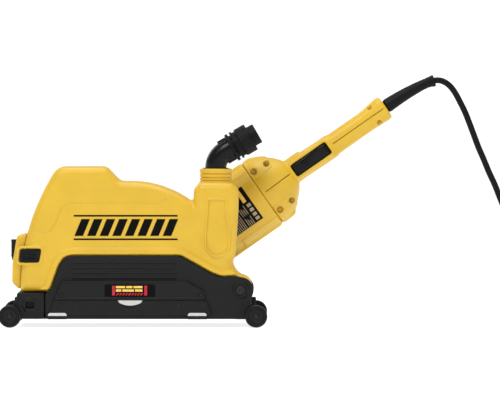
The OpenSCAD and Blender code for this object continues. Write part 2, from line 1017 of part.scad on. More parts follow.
module cord() {
    color(black) {
        tube(route, cord_d / 2, 10, [0, 1, 0]);
        tube(tail, cord_d / 2, 10, [0, 1, 0]);
    }
}

module cord_coil() {
    color(black)
        translate([coil_x, coil_y, 0])
            rotate_extrude()
                translate([coil_inner, 0])
                    offset(r = 3)
                        offset(delta = -3)
                            square([coil_outer - coil_inner, coil_h]);
}

module coil_tie() {
    band = 0.9;
    color([0.15, 0.15, 0.16])
        difference() {
            box([coil_x + coil_inner - band, -7, 0], [coil_x + coil_outer + band, 7, coil_h + band]);
            box([coil_x + coil_inner, -8, -1], [coil_x + coil_outer, 8, coil_h]);
        }
}

module plug() {
    translate(plug_at)
        rotate([0, -90, 0]) {
            color(black) {
                cylinder(r1 = 5.5, r2 = 8, h = 20);
                hull() {
                    for (side = [-1, 1])
                        translate([0, side * 5, 18]) cylinder(r = 12.9, h = 34, $fn = 32);
                }
            }
            color(steel)
                for (side = [-1, 1])
                    translate([0, side * 9.5, 52]) cylinder(r = 2.4, h = 19);
        }
}

base_frame();
near_panel();
far_panel();
cover_plate();
panel_label();
skirt_strip();
skid_tabs();
base_screws();
front_guard();
wheel_axles();
pivot_bolt();
pivot_spring();
wheel_front_near();
wheel_front_far();
wheel_rear_near();
wheel_rear_far();
hood_near();
hood_far();
front_cover();
hood_screws();
hood_emblem();
latch_button();
depth_slider();
dust_tower();
tower_collar();
elbow();
elbow_seal();
elbow_flange();
hose_connector();
mount_clamp();
gear_case();
bearing_cover();
spindle_bearing();
field_case();
rear_near();
rear_far();
stator();
switch();
trigger();
lock_button();
return_springs();
cord_clamp();
cord_boot();
rating_label();
housing_screws();
brush_holders();
carbon_brushes();
spindle_lock();
armature_bearings();
spindle();
crown_gear();
disc_flange();
disc_nut();
armature();
fan();
pinion();
cord();
cord_coil();
coil_tie();
plug();
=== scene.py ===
"""Looks of the wall chaser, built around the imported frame. Shapes are worked out in millimetres."""

import json
import math

import bmesh
import bpy
import numpy as np
import openvdb
from mathutils import Matrix, Vector


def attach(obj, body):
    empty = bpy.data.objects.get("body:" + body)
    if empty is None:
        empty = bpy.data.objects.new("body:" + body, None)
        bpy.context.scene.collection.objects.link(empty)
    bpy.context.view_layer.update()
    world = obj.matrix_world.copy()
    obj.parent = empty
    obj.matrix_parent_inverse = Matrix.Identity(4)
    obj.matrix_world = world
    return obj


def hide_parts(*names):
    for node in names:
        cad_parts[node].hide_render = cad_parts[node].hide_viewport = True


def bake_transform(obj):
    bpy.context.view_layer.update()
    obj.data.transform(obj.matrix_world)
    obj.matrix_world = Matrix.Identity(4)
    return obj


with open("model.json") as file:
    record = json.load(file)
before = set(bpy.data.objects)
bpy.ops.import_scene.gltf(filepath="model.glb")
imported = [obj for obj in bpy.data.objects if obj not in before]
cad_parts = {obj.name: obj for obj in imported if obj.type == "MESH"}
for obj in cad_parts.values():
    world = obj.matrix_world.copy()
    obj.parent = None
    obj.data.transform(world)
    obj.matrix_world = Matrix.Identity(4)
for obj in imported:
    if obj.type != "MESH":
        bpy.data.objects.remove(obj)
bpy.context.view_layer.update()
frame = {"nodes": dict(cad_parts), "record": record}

MM = 0.001
FINE = 1.0  # factor on every sampling step


# ---- Sizes, in mm, as in the frame ----

PIVOT = (58, 48)
SPINDLE = (-83.5, 52)
BACK = (-85, 55)  # middle of the hood's rear arc
NECK_R = 28.5
MOTOR_Y = 42
TILT = math.radians(35)
TOWER = (25.5, -42)
BEND_Z = 219.7
OUTLET = math.radians(30)
NEAR_Y = -74
SKIN_Y = -70
SPLIT_Y = -38
HOOD_FAR_Y = -6
FAR_Y = 50
SOLE = (10.4, 14)
WHEEL_R = 14.5
WHEEL_W = 12
AXLES_X = (-240.5, 78)
AXLE_HOLE = 3.05
FRONT = -90  # in front of every near face, where a cut starts
COVER_SCREWS = ((-174.7, 41.1), (7, 41.5))
SIGHT = (BACK[0], 42)  # middle of the notch that marks the disc's centre
WHEELS_Y = (-88, 51)
BLOCK = (-232, -196, 44.6)
CORD_R = 4
COIL = (512, 0)
COIL_RADII = (39, 47, 55)
COIL_LEVELS = (28, 20, 12, 4)


# ---- Places ----

def frame_at(origin, turn):
    """A matrix from a local frame in mm, turned about Y, to the row frame in metres."""
    place = Matrix.Translation(Vector(origin)) @ Matrix.Rotation(turn, 4, "Y")
    return Matrix.Scale(MM, 4) @ place


ROW = Matrix.Scale(MM, 4)
TOOL = frame_at((SPINDLE[0], MOTOR_Y, SPINDLE[1]), -TILT)
SPOUT = frame_at((TOWER[0], TOWER[1], BEND_Z), math.pi / 2 - OUTLET)


# ---- Distance fields ----
# A shape is an array of distances to its surface, negative inside.

class Points:
    """Sample points of a box, in mm, with x, y and z shaped to broadcast."""

    def __init__(self, low, high, step):
        self.low = np.array(low, float)
        self.step = step * FINE
        axes = [np.arange(a, b + self.step, self.step, dtype=np.float32) for a, b in zip(low, high)]
        self.x = axes[0][:, None, None]
        self.y = axes[1][None, :, None]
        self.z = axes[2][None, None, :]


def union(*shapes):
    out = shapes[0]
    for shape in shapes[1:]:
        out = np.minimum(out, shape)
    return out


def common(*shapes):
    out = shapes[0]
    for shape in shapes[1:]:
        out = np.maximum(out, shape)
    return out


def melt(a, b, k):
    """Union of a and b with a fillet about k wide between them."""
    h = np.maximum(k - np.abs(a - b), 0) / k
    return np.minimum(a, b) - h * h * k / 4


def cut(a, b, k=0.0):
    """a without b, its new edge softened over k."""
    return -melt(-a, b, k) if k else np.maximum(a, -b)


def disc(a, b, at, r):
    return np.hypot(a - at[0], b - at[1]) - r


def prism(flat, along, low, high, r=0.0):
    """A flat shape extruded from low to high, with its edges rounded by r."""
    ends = np.abs(along - (low + high) / 2) - (high - low) / 2 + r
    flat = flat + r
    outside = np.hypot(np.maximum(flat, 0), np.maximum(ends, 0))
    return np.minimum(np.maximum(flat, ends), 0) + outside - r


def rod(p, at, r, low, high, edge=0.0):
    """A round bar along Y from low to high, about a place in X and Z."""
    return prism(disc(p.x, p.z, at, r), p.y, low, high, edge)


def brick(p, low, high, r=0.0):
    """A box from corner to corner with its edges rounded by r."""
    wide = [np.abs(c - (a + b) / 2) - (b - a) / 2 + r for c, a, b in zip((p.x, p.y, p.z), low, high)]
    outside = np.sqrt(sum(np.maximum(w, 0) ** 2 for w in wide))
    return np.minimum(common(*wide), 0) + outside - r


def outline(a, b, points):
    """Signed distance to a closed outline."""
    a, b = np.broadcast_arrays(a, b)
    near = np.full(a.shape, 1e9, np.float32)
    inside = np.zeros(a.shape, bool)
    for (a0, b0), (a1, b1) in zip(points, list(points[1:]) + [points[0]]):
        da, db = a1 - a0, b1 - b0
        pa, pb = a - a0, b - b0
        t = np.clip((pa * da + pb * db) / (da * da + db * db), 0, 1)
        near = np.minimum(near, (pa - t * da) ** 2 + (pb - t * db) ** 2)
        if db:
            inside ^= ((b0 > b) != (b1 > b)) & (pa < da * pb / db)
    return np.where(inside, -1, 1).astype(np.float32) * np.sqrt(near)


def slab(p, points, low, high, edge=0.0):
    """A plate along Y from low to high, cut to an outline in X and Z."""
    return prism(outline(p.x, p.z, points), p.y, low, high, edge)


def softened(points, size, spacing=3.0):
    """A closed outline with its corners rounded off over about size."""
    ring = np.array(list(points) + [points[0]], float)
    run = np.concatenate([[0], np.cumsum(np.linalg.norm(np.diff(ring, axis=0), axis=1))])
    count = int(run[-1])
    at = np.linspace(0, run[-1], count, endpoint=False)
    dense = np.stack([np.interp(at, run, ring[:, i]) for i in (0, 1)], 1)
    half = int(2 * size)
    weights = np.exp(-0.5 * (np.arange(-half, half + 1) / (size / 2)) ** 2)
    weights /= weights.sum()
    soft = sum(w * np.roll(dense, k - half, axis=0) for k, w in enumerate(weights))
    return [tuple(q) for q in soft[::int(spacing)]]


def arc(centre, r, start, end, count):
    """Points on an arc, with its angles in degrees."""
    turn = np.radians(np.linspace(start, end, count))
    return [(centre[0] + r * math.cos(t), centre[1] + r * math.sin(t)) for t in turn]


# ---- Meshes ----

def added(name, data):
    """A new object in the scene."""
    piece = bpy.data.objects.new(name, data)
    bpy.context.scene.collection.objects.link(piece)
    return piece


def finish_mesh(name, verts, faces, place, material):
    """An object from vertices in mm and faces, moved to its place in metres."""
    mesh = bpy.data.meshes.new(name)
    mesh.from_pydata([tuple(v) for v in verts], [], faces)
    mesh.validate()
    mesh.transform(place)
    mesh.materials.append(material)
    mesh.shade_smooth()
    return added(name, mesh)


def cast(name, p, shape, material, place=ROW):
    """The mesh of a distance field."""
    band = 3 * p.step
    grid = openvdb.FloatGrid(band)
    grid.copyFromArray(np.ascontiguousarray(np.clip(shape, -band, band), np.float32))
    verts, tris, quads = grid.convertToPolygons(0.0, 0.02)
    faces = [f[::-1] for f in tris.tolist()] + [f[::-1] for f in quads.tolist()]
    return finish_mesh(name, verts * p.step + p.low, faces, place, material)


def sweep(name, path, radius, material, sides):
    """A tube along a path, in mm. radius is one number or one for each point."""
    path = np.array(path, float)
    radius = np.broadcast_to(radius, len(path))
    ahead = np.gradient(path, axis=0)
    ahead /= np.linalg.norm(ahead, axis=1)[:, None]
    side = np.cross(ahead[0], (0.3, 0.9, 0.1))
    rings = []
    for point, way, r in zip(path, ahead, radius):
        side = side - way * side.dot(way)
        side /= np.linalg.norm(side)
        other = np.cross(way, side)
        turn = np.arange(sides) * 2 * math.pi / sides
        rings.append(point + r * (np.cos(turn)[:, None] * side + np.sin(turn)[:, None] * other))
    verts = np.concatenate(rings)
    faces = []
    for i in range(len(path) - 1):
        for j in range(sides):
            k = (j + 1) % sides
            faces.append((i * sides + j, i * sides + k, (i + 1) * sides + k, (i + 1) * sides + j))
    faces.append(tuple(reversed(range(sides))))
    faces.append(tuple(range(len(verts) - sides, len(verts))))
    return finish_mesh(name, verts, faces, ROW, material)


def turned(name, profile, material, place, sides=96, soft=0.35):
    """A closed (radius, height) profile turned about Z, with its corners softened."""
    ring = []
    count = len(profile)
    for i in range(count):
        r, h, size = (*profile[i], soft)[:3]
        here = Vector((r, h))
        before = Vector(profile[i - 1][:2]) - here
        after = Vector(profile[(i + 1) % count][:2]) - here
        size = min(size, before.length * 0.45, after.length * 0.45)
        if size <= 0 or before.angle(after) > math.radians(176):
            ring.append(here)
            continue
        start, end = here + before.normalized() * size, here + after.normalized() * size
        for t in (0, 0.25, 0.5, 0.75, 1):
            ring.append(start * (1 - t) ** 2 + here * 2 * t * (1 - t) + end * t * t)
    verts = []
    for j in range(sides):
        a = 2 * math.pi * j / sides
        verts += [(q.x * math.cos(a), q.x * math.sin(a), q.y) for q in ring]
    n = len(ring)
    faces = []
    for j in range(sides):
        k = (j + 1) % sides
        for i in range(n):
            m = (i + 1) % n
            faces.append((j * n + i, k * n + i, k * n + m, j * n + m))
    piece = finish_mesh(name, verts, faces, place, material)
    bm = bmesh.new()
    bm.from_mesh(piece.data)
    bmesh.ops.remove_doubles(bm, verts=bm.verts, dist=1e-6)
    bmesh.ops.recalc_face_normals(bm, faces=bm.faces)
    bm.to_mesh(piece.data)
    bm.free()
    piece.data.set_sharp_from_angle(angle=math.radians(50))
    return piece


def keep(piece, body, slot, *nodes):
    """Puts a finished piece on its body, in place of CAD nodes. Its slot argument is not used."""
    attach(piece, body)
    if nodes:
        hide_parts(*nodes)
    return piece


def along_y(x, z, y):
    """A place for a turned piece: its +Z points towards -Y, from y."""
    return ROW @ Matrix.Translation((x, y, z)) @ Matrix.Rotation(math.pi / 2, 4, "X")


# ---- Materials ----

def srgb(r, g, b):
    return [((c + 0.055) / 1.055) ** 2.4 if c > 0.04045 else c / 12.92 for c in (r, g, b)] + [1]


class Look:
    """A material and short ways to add nodes to it. Its texture space is the object's own, in metres."""

    def __init__(self, name, metallic=0.0, ior=1.5):
        self.material = bpy.data.materials.new(name)
        self.material.use_nodes = True
        self.tree = self.material.node_tree
        self.shader = self.tree.nodes["Principled BSDF"]
        self.shader.inputs["Metallic"].default_value = metallic
        self.shader.inputs["IOR"].default_value = ior
        self.coords = self.tree.nodes.new("ShaderNodeTexCoord").outputs["Object"]

    def link(self, source, target):
        self.tree.links.new(source, target)

    def stretched(self, scale):
        node = self.tree.nodes.new("ShaderNodeMapping")
        node.inputs["Scale"].default_value = scale
        self.link(self.coords, node.inputs["Vector"])
        return node.outputs["Vector"]

    def noise(self, size, detail=2.0, vector=None, rough=0.5):
        """Noise whose patches are about size mm."""
        node = self.tree.nodes.new("ShaderNodeTexNoise")
        node.inputs["Scale"].default_value = 1000 / size
        node.inputs["Detail"].default_value = detail
        node.inputs["Roughness"].default_value = rough
        self.link(vector or self.coords, node.inputs["Vector"])
        return node.outputs["Fac"]

    def remap(self, value, low, high, to_low=0.0, to_high=1.0):
        node = self.tree.nodes.new("ShaderNodeMapRange")
        for i, v in enumerate((low, high, to_low, to_high)):
            node.inputs[i + 1].default_value = v
        self.link(value, node.inputs["Value"])
        return node.outputs["Result"]

    def times(self, a, b, operation="MULTIPLY"):
        node = self.tree.nodes.new("ShaderNodeMath")
        node.operation = operation
        for socket, value in zip(node.inputs, (a, b)):
            if isinstance(value, (int, float)):
                socket.default_value = value
            else:
                self.link(value, socket)
        return node.outputs[0]

    def mix(self, amount, a, b):
        """Colour a where amount is 0 and b where it is 1."""
        node = self.tree.nodes.new("ShaderNodeMix")
        node.data_type = "RGBA"
        self.link(amount, node.inputs["Factor"])
        for socket, value in ((node.inputs[6], a), (node.inputs[7], b)):
            if isinstance(value, (list, tuple)):
                socket.default_value = value
            else:
                self.link(value, socket)
        return node.outputs[2]

    def edges(self, low=0.53, high=0.6):
        """From 0 on flat faces to 1 on sharp outer edges."""
        geometry = self.tree.nodes.new("ShaderNodeNewGeometry")
        return self.remap(geometry.outputs["Pointiness"], low, high)

    def bump(self, height, depth):
        """Bump of a 0 to 1 height, depth mm deep."""
        node = self.tree.nodes.new("ShaderNodeBump")
        node.inputs["Distance"].default_value = depth * MM
        node.inputs["Strength"].default_value = 1.0
        self.link(height, node.inputs["Height"])
        self.link(node.outputs["Normal"], self.shader.inputs["Normal"])

    def colour(self, source):
        self.link(source, self.shader.inputs["Base Color"])

    def roughness(self, source):
        self.link(source, self.shader.inputs["Roughness"])


def plastic(name, colour, rough, grain, depth, rubbed, gleam=0.5):
    """Moulded plastic: spark-eroded grain, slight mottling and edges rubbed paler."""
    look = Look(name, ior=1.49)
    look.shader.inputs["Specular IOR Level"].default_value = gleam
    mottle = look.noise(38, 3)
    shade = [c * 0.93 for c in colour[:3]] + [1]
    base = look.mix(look.remap(mottle, 0.35, 0.65), shade, colour)
    scuffs = look.noise(5, 4, rough=0.7)
    worn = look.times(look.edges(), look.remap(scuffs, 0.45, 0.62))
    look.colour(look.mix(look.times(worn, 0.7), base, rubbed))
    smear = look.noise(14, 3)
    fine = look.noise(grain, 2)
    look.roughness(look.times(look.remap(smear, 0.3, 0.7, rough - 0.06, rough + 0.07),
                              look.remap(fine, 0.3, 0.7, -0.03, 0.03), "ADD"))
    look.bump(look.times(fine, look.noise(grain * 2.7, 1), "ADD"), depth)
    return look.material


def metal(name, colour, rough, streak, depth, stain=0.85, metallic=1.0):
    """Bare metal with fine turning or rolling marks along streak, and duller patches."""
    look = Look(name, metallic=metallic)
    lines = look.noise(1.0, 3, look.stretched(streak))
    patch = look.noise(16, 4)
    dull = [c * stain for c in colour[:3]] + [1]
    look.colour(look.mix(look.remap(patch, 0.35, 0.7), colour, dull))
    look.roughness(look.times(look.remap(lines, 0.3, 0.7, rough - 0.07, rough + 0.08),
                              look.remap(patch, 0.3, 0.7, -0.04, 0.05), "ADD"))
    look.bump(lines, depth)
    return look.material


YELLOW = plastic("yellow_plastic", srgb(0.85, 0.69, 0.16), 0.4, 0.9, 0.012, srgb(0.87, 0.74, 0.3))
BLACK = plastic("black_plastic", srgb(0.06, 0.06, 0.063), 0.44, 0.8, 0.02, srgb(0.14, 0.14, 0.145), 0.24)
RUBBER = plastic("black_rubber", srgb(0.045, 0.045, 0.047), 0.5, 0.5, 0.012, srgb(0.09, 0.09, 0.09), 0.16)
GLOSS = plastic("glossy_black_plastic", srgb(0.03, 0.03, 0.032), 0.22, 0.6, 0.006, srgb(0.07, 0.07, 0.07), 0.2)
STEEL = metal("steel", srgb(0.78, 0.79, 0.8), 0.3, (1, 1, 6), 0.01)
ZINC = metal("zinc_plated_steel", srgb(0.83, 0.83, 0.82), 0.34, (1, 5, 1), 0.01)
DARK_STEEL = metal("blackened_steel", srgb(0.2, 0.2, 0.21), 0.4, (1, 1, 4), 0.012, metallic=0.9)
CAST = metal("cast_aluminium", srgb(0.69, 0.69, 0.7), 0.48, (1, 1, 1), 0.06, stain=0.9)
COPPER = metal("copper", srgb(0.86, 0.5, 0.3), 0.34, (1, 1, 9), 0.03)
# Painted shade: yellow-orange metal for the rear shells' screw heads, giving their recesses the colour of shaded
# yellow plastic
RECESS_SHADE_METAL = metal("steel_tinted_as_recess_shade", srgb(0.92, 0.7, 0.26), 0.45, (1, 4, 1), 0.012)
BRASS = metal("brass", srgb(0.83, 0.68, 0.38), 0.33, (1, 4, 1), 0.015)
CARBON = plastic("carbon", srgb(0.14, 0.14, 0.145), 0.62, 0.4, 0.02, srgb(0.3, 0.3, 0.3))
# Painted shade: the shaded-yellow colour of the strip in the rear shells' seam groove
SHADE = plastic("seam_shade", srgb(0.55, 0.4, 0.1), 0.6, 0.5, 0.004, srgb(0.58, 0.43, 0.12), 0.1)
INK = plastic("black_ink", srgb(0.02, 0.02, 0.022), 0.38, 0.5, 0.004, srgb(0.05, 0.05, 0.05), 0.08)
RED_INK = plastic("red_ink", srgb(0.72, 0.14, 0.2), 0.4, 0.5, 0.004, srgb(0.78, 0.24, 0.28), 0.2)
GOLD_INK = plastic("gold_ink", srgb(0.93, 0.76, 0.3), 0.4, 0.5, 0.004, srgb(0.95, 0.82, 0.42))
GREY_INK = plastic("grey_ink", srgb(0.62, 0.55, 0.42), 0.45, 0.5, 0.004, srgb(0.7, 0.62, 0.5))

NODE_LOOKS = {
    "yellow_plastic": YELLOW, "black_plastic": BLACK, "black_rubber": RUBBER, "steel": STEEL,
    "cast_aluminium": CAST, "copper": COPPER, "brass": BRASS, "carbon": CARBON, "label_red": RED_INK,
    "label_black": INK,
}
for row in frame["record"]["subparts"]:
    node = frame["nodes"][row["node"]]
    node.data.materials.clear()
    node.data.materials.append(NODE_LOOKS[row["material_slot"]])


# ---- Camera ----

def make_camera():
    """A long lens, level with the machine's middle and a little above it."""
    away, turn, rise = 6.5, math.radians(0.1), math.radians(1.5)
    middle = Vector((0.070, -0.04, 0.1638))
    back = Vector((math.sin(turn) * math.cos(rise), -math.cos(turn) * math.cos(rise), math.sin(rise)))
    data = bpy.data.cameras.new("camera")
    data.sensor_width = 36
    data.lens = 36 * away / 0.65
    data.clip_end = 90
    camera = added("camera", data)
    camera.location = middle + back * away
    camera.rotation_mode = "QUATERNION"
    camera.rotation_quaternion = (-back).to_track_quat("-Z", "Y")
    bpy.context.scene.camera = camera


make_camera()


# ---- Cord ----

def through(points, spacing):
    """Evenly spaced points on a smooth curve through points."""
    p = np.array(points, float)
    p = np.concatenate([[2 * p[0] - p[1]], p, [2 * p[-1] - p[-2]]])
    t = np.concatenate([[0], np.cumsum(np.sqrt(np.linalg.norm(np.diff(p, axis=0), axis=1)))])
    curve = []
    for i in range(1, len(p) - 2):
        for s in np.linspace(t[i], t[i + 1], 12, endpoint=False):
            a = [(t[i + k] - s) / (t[i + k] - t[i + k - 1]) for k in (0, 1, 2)]
            q = [a[k] * p[i + k - 1] + (1 - a[k]) * p[i + k] for k in range(3)]
            b = [(t[i + k + 1] - s) / (t[i + k + 1] - t[i + k - 1]) for k in (0, 1)]
            q = [b[k] * q[k] + (1 - b[k]) * q[k + 1] for k in range(2)]
            c = (t[i + 1] - s) / (t[i + 1] - t[i])
            curve.append(c * q[0] + (1 - c) * q[1])
    curve.append(p[-2])
    curve = np.array(curve)
    run = np.concatenate([[0], np.cumsum(np.linalg.norm(np.diff(curve, axis=0), axis=1))])
    at = np.linspace(0, run[-1], int(run[-1] / spacing) + 1)
    return np.stack([np.interp(at, run, curve[:, k]) for k in range(3)], 1)


def coil_points():
    """The coil's turns, wound from its top to its foot, clockwise from above."""
    rows = [COIL_RADII[::-1], COIL_RADII, COIL_RADII[::-1], COIL_RADII]
    turns = [(r, z) for radii, z in zip(rows, COIL_LEVELS) for r in radii]
    points = []
    for i, (r, z) in enumerate(turns):
        to_r, to_z = turns[min(i + 1, len(turns) - 1)]
        last = i == len(turns) - 1
        for t in np.arange(0, 0.51 if last else 1, 1 / 36):
            s = max((t - 0.5) / 0.5, 0)
            s = s * s * (3 - 2 * s)
            a = math.pi / 2 - 2 * math.pi * t
            radius = r + (to_r - r) * s
            x, y = COIL[0] + radius * math.cos(a), COIL[1] + radius * math.sin(a)
            points.append((x, y, z + (to_z - z) * s))
    return points


ROUTE = [
    (307.5, 42, 317.9), (313.5, 42, 319), (319.5, 42, 319), (326.5, 42, 316.5), (333.5, 42, 311), (339.5, 42, 303),
    (345.5, 42, 292), (352.5, 42, 278), (358.5, 42, 263), (364.5, 42, 247), (370.5, 42, 231), (377.5, 42, 215),
    (384.5, 42, 198), (391.5, 42, 183), (399.5, 43, 163), (408.5, 44, 141), (417.5, 45, 118), (428.5, 47, 95),
    (441, 49, 73.5), (456, 51, 55), (472.5, 53, 41), (491.5, 55, 31.5),
]
TAIL = [(502, -55, 4), (492, -55, 5), (482, -55, 9), (472, -55, 12)]
BOOT = [
    (241.7, 42, 279.8), (248.3, 42, 284.3), (263.5, 42, 294.4), (279.5, 42, 304), (294.5, 42, 312),
    (304.5, 42, 316.4), (312.5, 42, 318.9),
]


def make_cord():
    """The mains cord from the boot to the coil and the plug."""
    path = through(ROUTE + coil_points() + TAIL, 3.0)
    cord = sweep("mains_cord", path, CORD_R, RUBBER, sides=16)
    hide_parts("cord", "cord_coil")
    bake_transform(cord)
    return cord, path


def make_boot():
    """The strain relief, tapering to a thin neck and a flared end."""
    path = through(BOOT, 0.8)
    u = np.linspace(0, 1, len(path))
    radius = np.interp(u, [0, 0.09, 0.1, 0.13, 0.3, 0.6, 0.82, 0.93, 0.985, 1],
                       [6, 6, 8.6, 9.3, 8.7, 7.5, 6.6, 7.2, 7.9, 7.3])
    radius = np.convolve(np.pad(radius, 2, mode="edge"), np.ones(5) / 5, "valid")
    for groove in (0.86, 0.895, 0.93):
        radius -= 0.7 * np.exp(-((u - groove) / 0.006) ** 2)
    boot = sweep("strain_relief", path, radius, RUBBER, sides=48)
    return keep(boot, "hood", "black_rubber", "cord_boot")


def make_plug():
    """A moulded two-pin plug with a waist, grip ribs and steel pins, pointing to -X."""
    p = Points((396, -80, -1), (482, -30, 29), 0.8)
    x, y, z = p.x - 472, p.y + 55, p.z - 13
    core = np.hypot(np.maximum(np.abs(y) - 5, 0), z) - 12.4
    core = core + 1.6 * np.exp(-((x + 27) / 6) ** 2)
    body = prism(core, x, -52, -18, 3.0)
    neck = np.hypot(y, z) - (5.6 + 2.4 * np.clip(-x / 20, 0, 1))
    body = melt(body, prism(neck, x, -24, 1.5, 1.0), 4)
    for i in range(4):
        rib = prism(np.abs(core + 0.2) - 0.7, x, -38 + 4 * i, -36.2 + 4 * i, 0.5)
        body = cut(body, rib, 0.8)
    pins = union(*[prism(np.hypot(y - s * 9.5, z) - 2.4, x, -70.4, -50, 1.4) for s in (-1, 1)])
    plug = cast("plug_body", p, body, RUBBER)
    keep(plug, "base", "black_rubber", "plug")
    keep(cast("plug_pins", p, pins, STEEL), "base", "steel")
    return plug, bpy.data.objects["plug_pins"]


def make_tie():
    """A hook and loop strap round the coil."""
    p = Points((540, -11, -1), (574, 11, 36), 0.5)
    low, high = COIL[0] + COIL_RADII[0] - CORD_R, COIL[0] + COIL_RADII[-1] + CORD_R
    loop = np.maximum(np.abs(p.x - (low + high) / 2) - (high - low) / 2 + 3, 0)
    tall = np.maximum(np.abs(p.z - 16) - 16 + 3, 0)
    ring = np.abs(np.hypot(loop, tall) - 3.2) - 0.5
    weave = 0.12 * np.sin(p.y * 3.2)
    strap = prism(ring + weave, p.y, -7, 7, 0.3)
    flap = brick(p, (high - 1, -7, 9), (high + 1.6, 7, 27), 0.5)
    strap = cut(union(strap, flap), p.z)
    return keep(cast("coil_strap", p, strap, BLACK), "base", "black_plastic", "coil_tie")


cord, cord_path = make_cord()
boot = make_boot()
plug, pins = make_plug()
tie = make_tie()


# ---- Stage and light ----

def make_stage():
    """A pale floor that runs into a low pale wall, far off on every side."""
    floor_look = Look("floor_white")
    grain = floor_look.noise(400, 2)
    floor_look.colour(floor_look.mix(grain, srgb(0.67, 0.67, 0.67), srgb(0.69, 0.69, 0.69)))
    floor_look.shader.inputs["Roughness"].default_value = 0.65
    floor_look.shader.inputs["Emission Color"].default_value = (1, 1, 1, 1)
    floor_look.shader.inputs["Emission Strength"].default_value = 0.8
    floor_r, wall_height = 45, 6
    bm = bmesh.new()
    rim = bmesh.ops.create_circle(bm, cap_ends=True, segments=96, radius=floor_r)["verts"]
    wall = bmesh.ops.extrude_edge_only(bm, edges=list({e for v in rim for e in v.link_edges}))["geom"]
    top = [v for v in wall if isinstance(v, bmesh.types.BMVert)]
    bmesh.ops.translate(bm, verts=top, vec=(0, 0, wall_height))
    mesh = bpy.data.meshes.new("floor")
    bm.to_mesh(mesh)
    bm.free()
    mesh.materials.append(floor_look.material)
    floor = added("floor", mesh)
    floor.location.z = -0.0003
    world = bpy.data.worlds.new("studio")
    world.use_nodes = True
    background = world.node_tree.nodes["Background"]
    background.inputs["Color"].default_value = (1, 1, 1, 1)
    background.inputs["Strength"].default_value = 0.5
    bpy.context.scene.world = world
    bpy.context.scene.view_settings.view_transform = "Standard"


def softbox(name, place, aim, size, power):
    """A rectangular area light at a place, facing aim."""
    data = bpy.data.lights.new(name, "AREA")
    data.shape = "RECTANGLE"
    data.size, data.size_y = size
    data.energy = power
    light = added(name, data)
    light.location = place
    light.rotation_mode = "QUATERNION"
    light.rotation_quaternion = (Vector(aim) - Vector(place)).to_track_quat("-Z", "Y")


make_stage()
softbox("key", (-0.9, -1.8, 2.3), (0, 0, 0.12), (1.4, 1.0), 36)
softbox("fill", (2.4, -1.6, 1.1), (0.05, 0, 0.15), (1.2, 1.6), 7)
softbox("top", (0.2, 0.3, 2.6), (0, 0, 0.1), (2.4, 1.2), 30)
softbox("back", (-1.6, 2.4, 1.4), (0, 0, 0.15), (1.4, 1.4), 12)


# ---- Outlines in X and Z ----

PANEL = softened(
    [(-195, 10.4), (-195, 44.3), (-188, 49.5), (-183.1, 63.3), (-177.2, 80), (-171.3, 89), (-166.5, 91.8),
     (-160.5, 92.8), (-20, 92.8), (20.7, 70),
     (33, 65.5), (54, 66.5)] + arc(PIVOT, 17, 96, -40, 12) + [(72, 34), (72, 10.4)], 4)
HOOD = softened(
    [(-184, 20), (-184, 45.6), (-228, 45.6)] + arc(PIVOT, 286, 180, 147, 20)[1:]
    + [(-174, 207.5), (-116, 207.5), (-98, 188.2)] + arc(BACK, 133.5, 90, 18, 24)
    + [(45, 92), (51, 74)] + arc(PIVOT, 19, 90, 50, 5) + arc(PIVOT, 16, 25, -90, 9) + [(36, 20)], 7)
STEP_BACK = softened(
    [(-270, 122), (-190, 122), (-181, 135), (-175, 152), (-162, 160), (-45, 159), (-38, 165), (-38, 270),
     (-270, 270)], 3)
TOWER_SHAPE = softened(
    [(-3, 163), (-3, 178.6), (4.6, 187.4), (46.4, 187.4), (55.3, 178.6), (55.3, 152), (51, 92), (44, 84),
     (28, 84), (14, 100)], 4)
LATCH = softened([(-227.5, 101.2), (-200.3, 101.2), (-203.2, 84.2), (-229, 84.2)], 3, 2)


# ---- Hood ----

def hood_fields(p):
    """The hood's outline and its whole outer and inner shape at points p."""
    flat = outline(p.x, p.z, HOOD)
    outer = prism(flat, p.y, NEAR_Y, HOOD_FAR_Y, 14)
    panel = outline(p.x, p.z, PANEL)
    # The panel's recess, the raised lip round it and the set-back upper face
    lip = prism(common(np.abs(panel - 5.2) - 3.6, flat + 3), p.y, NEAR_Y - 2.1, NEAR_Y + 6, 1.8)
    outer = melt(outer, lip, 3)
    outer = cut(outer, slab(p, STEP_BACK, NEAR_Y - 20, NEAR_Y + 1.6), 0.7)
    outer = cut(outer, prism(panel - 1.3, p.y, NEAR_Y - 20, SKIN_Y), 1.2)
    inner = prism(flat + 3, p.y, SKIN_Y + 3, HOOD_FAR_Y - 3, 9)
    inner = union(inner, brick(p, (-188, SKIN_Y + 3, 0), (36, HOOD_FAR_Y - 3, 60), 4))
    return flat, outer, inner


def tower_field(p):
    """The dust tower and its neck."""
    shape = slab(p, TOWER_SHAPE, NEAR_Y - 4, -12, 11)
    neck = prism(disc(p.x, p.y, TOWER, 19), p.z, 170, 191, 1)
    return melt(shape, neck, 6)


def bolt_hole(p, y0, y1, r):
    return rod(p, PIVOT, r, y0, y1)


SHELL_SCREWS = [(-150, 185), (-70, 176), (-207, 125)]
CLAMPS = [tuple(np.add(SPINDLE, ((NECK_R + 9.5) * math.cos(a), (NECK_R + 9.5) * math.sin(a))))
          for a in np.radians([90, 210, 330])]


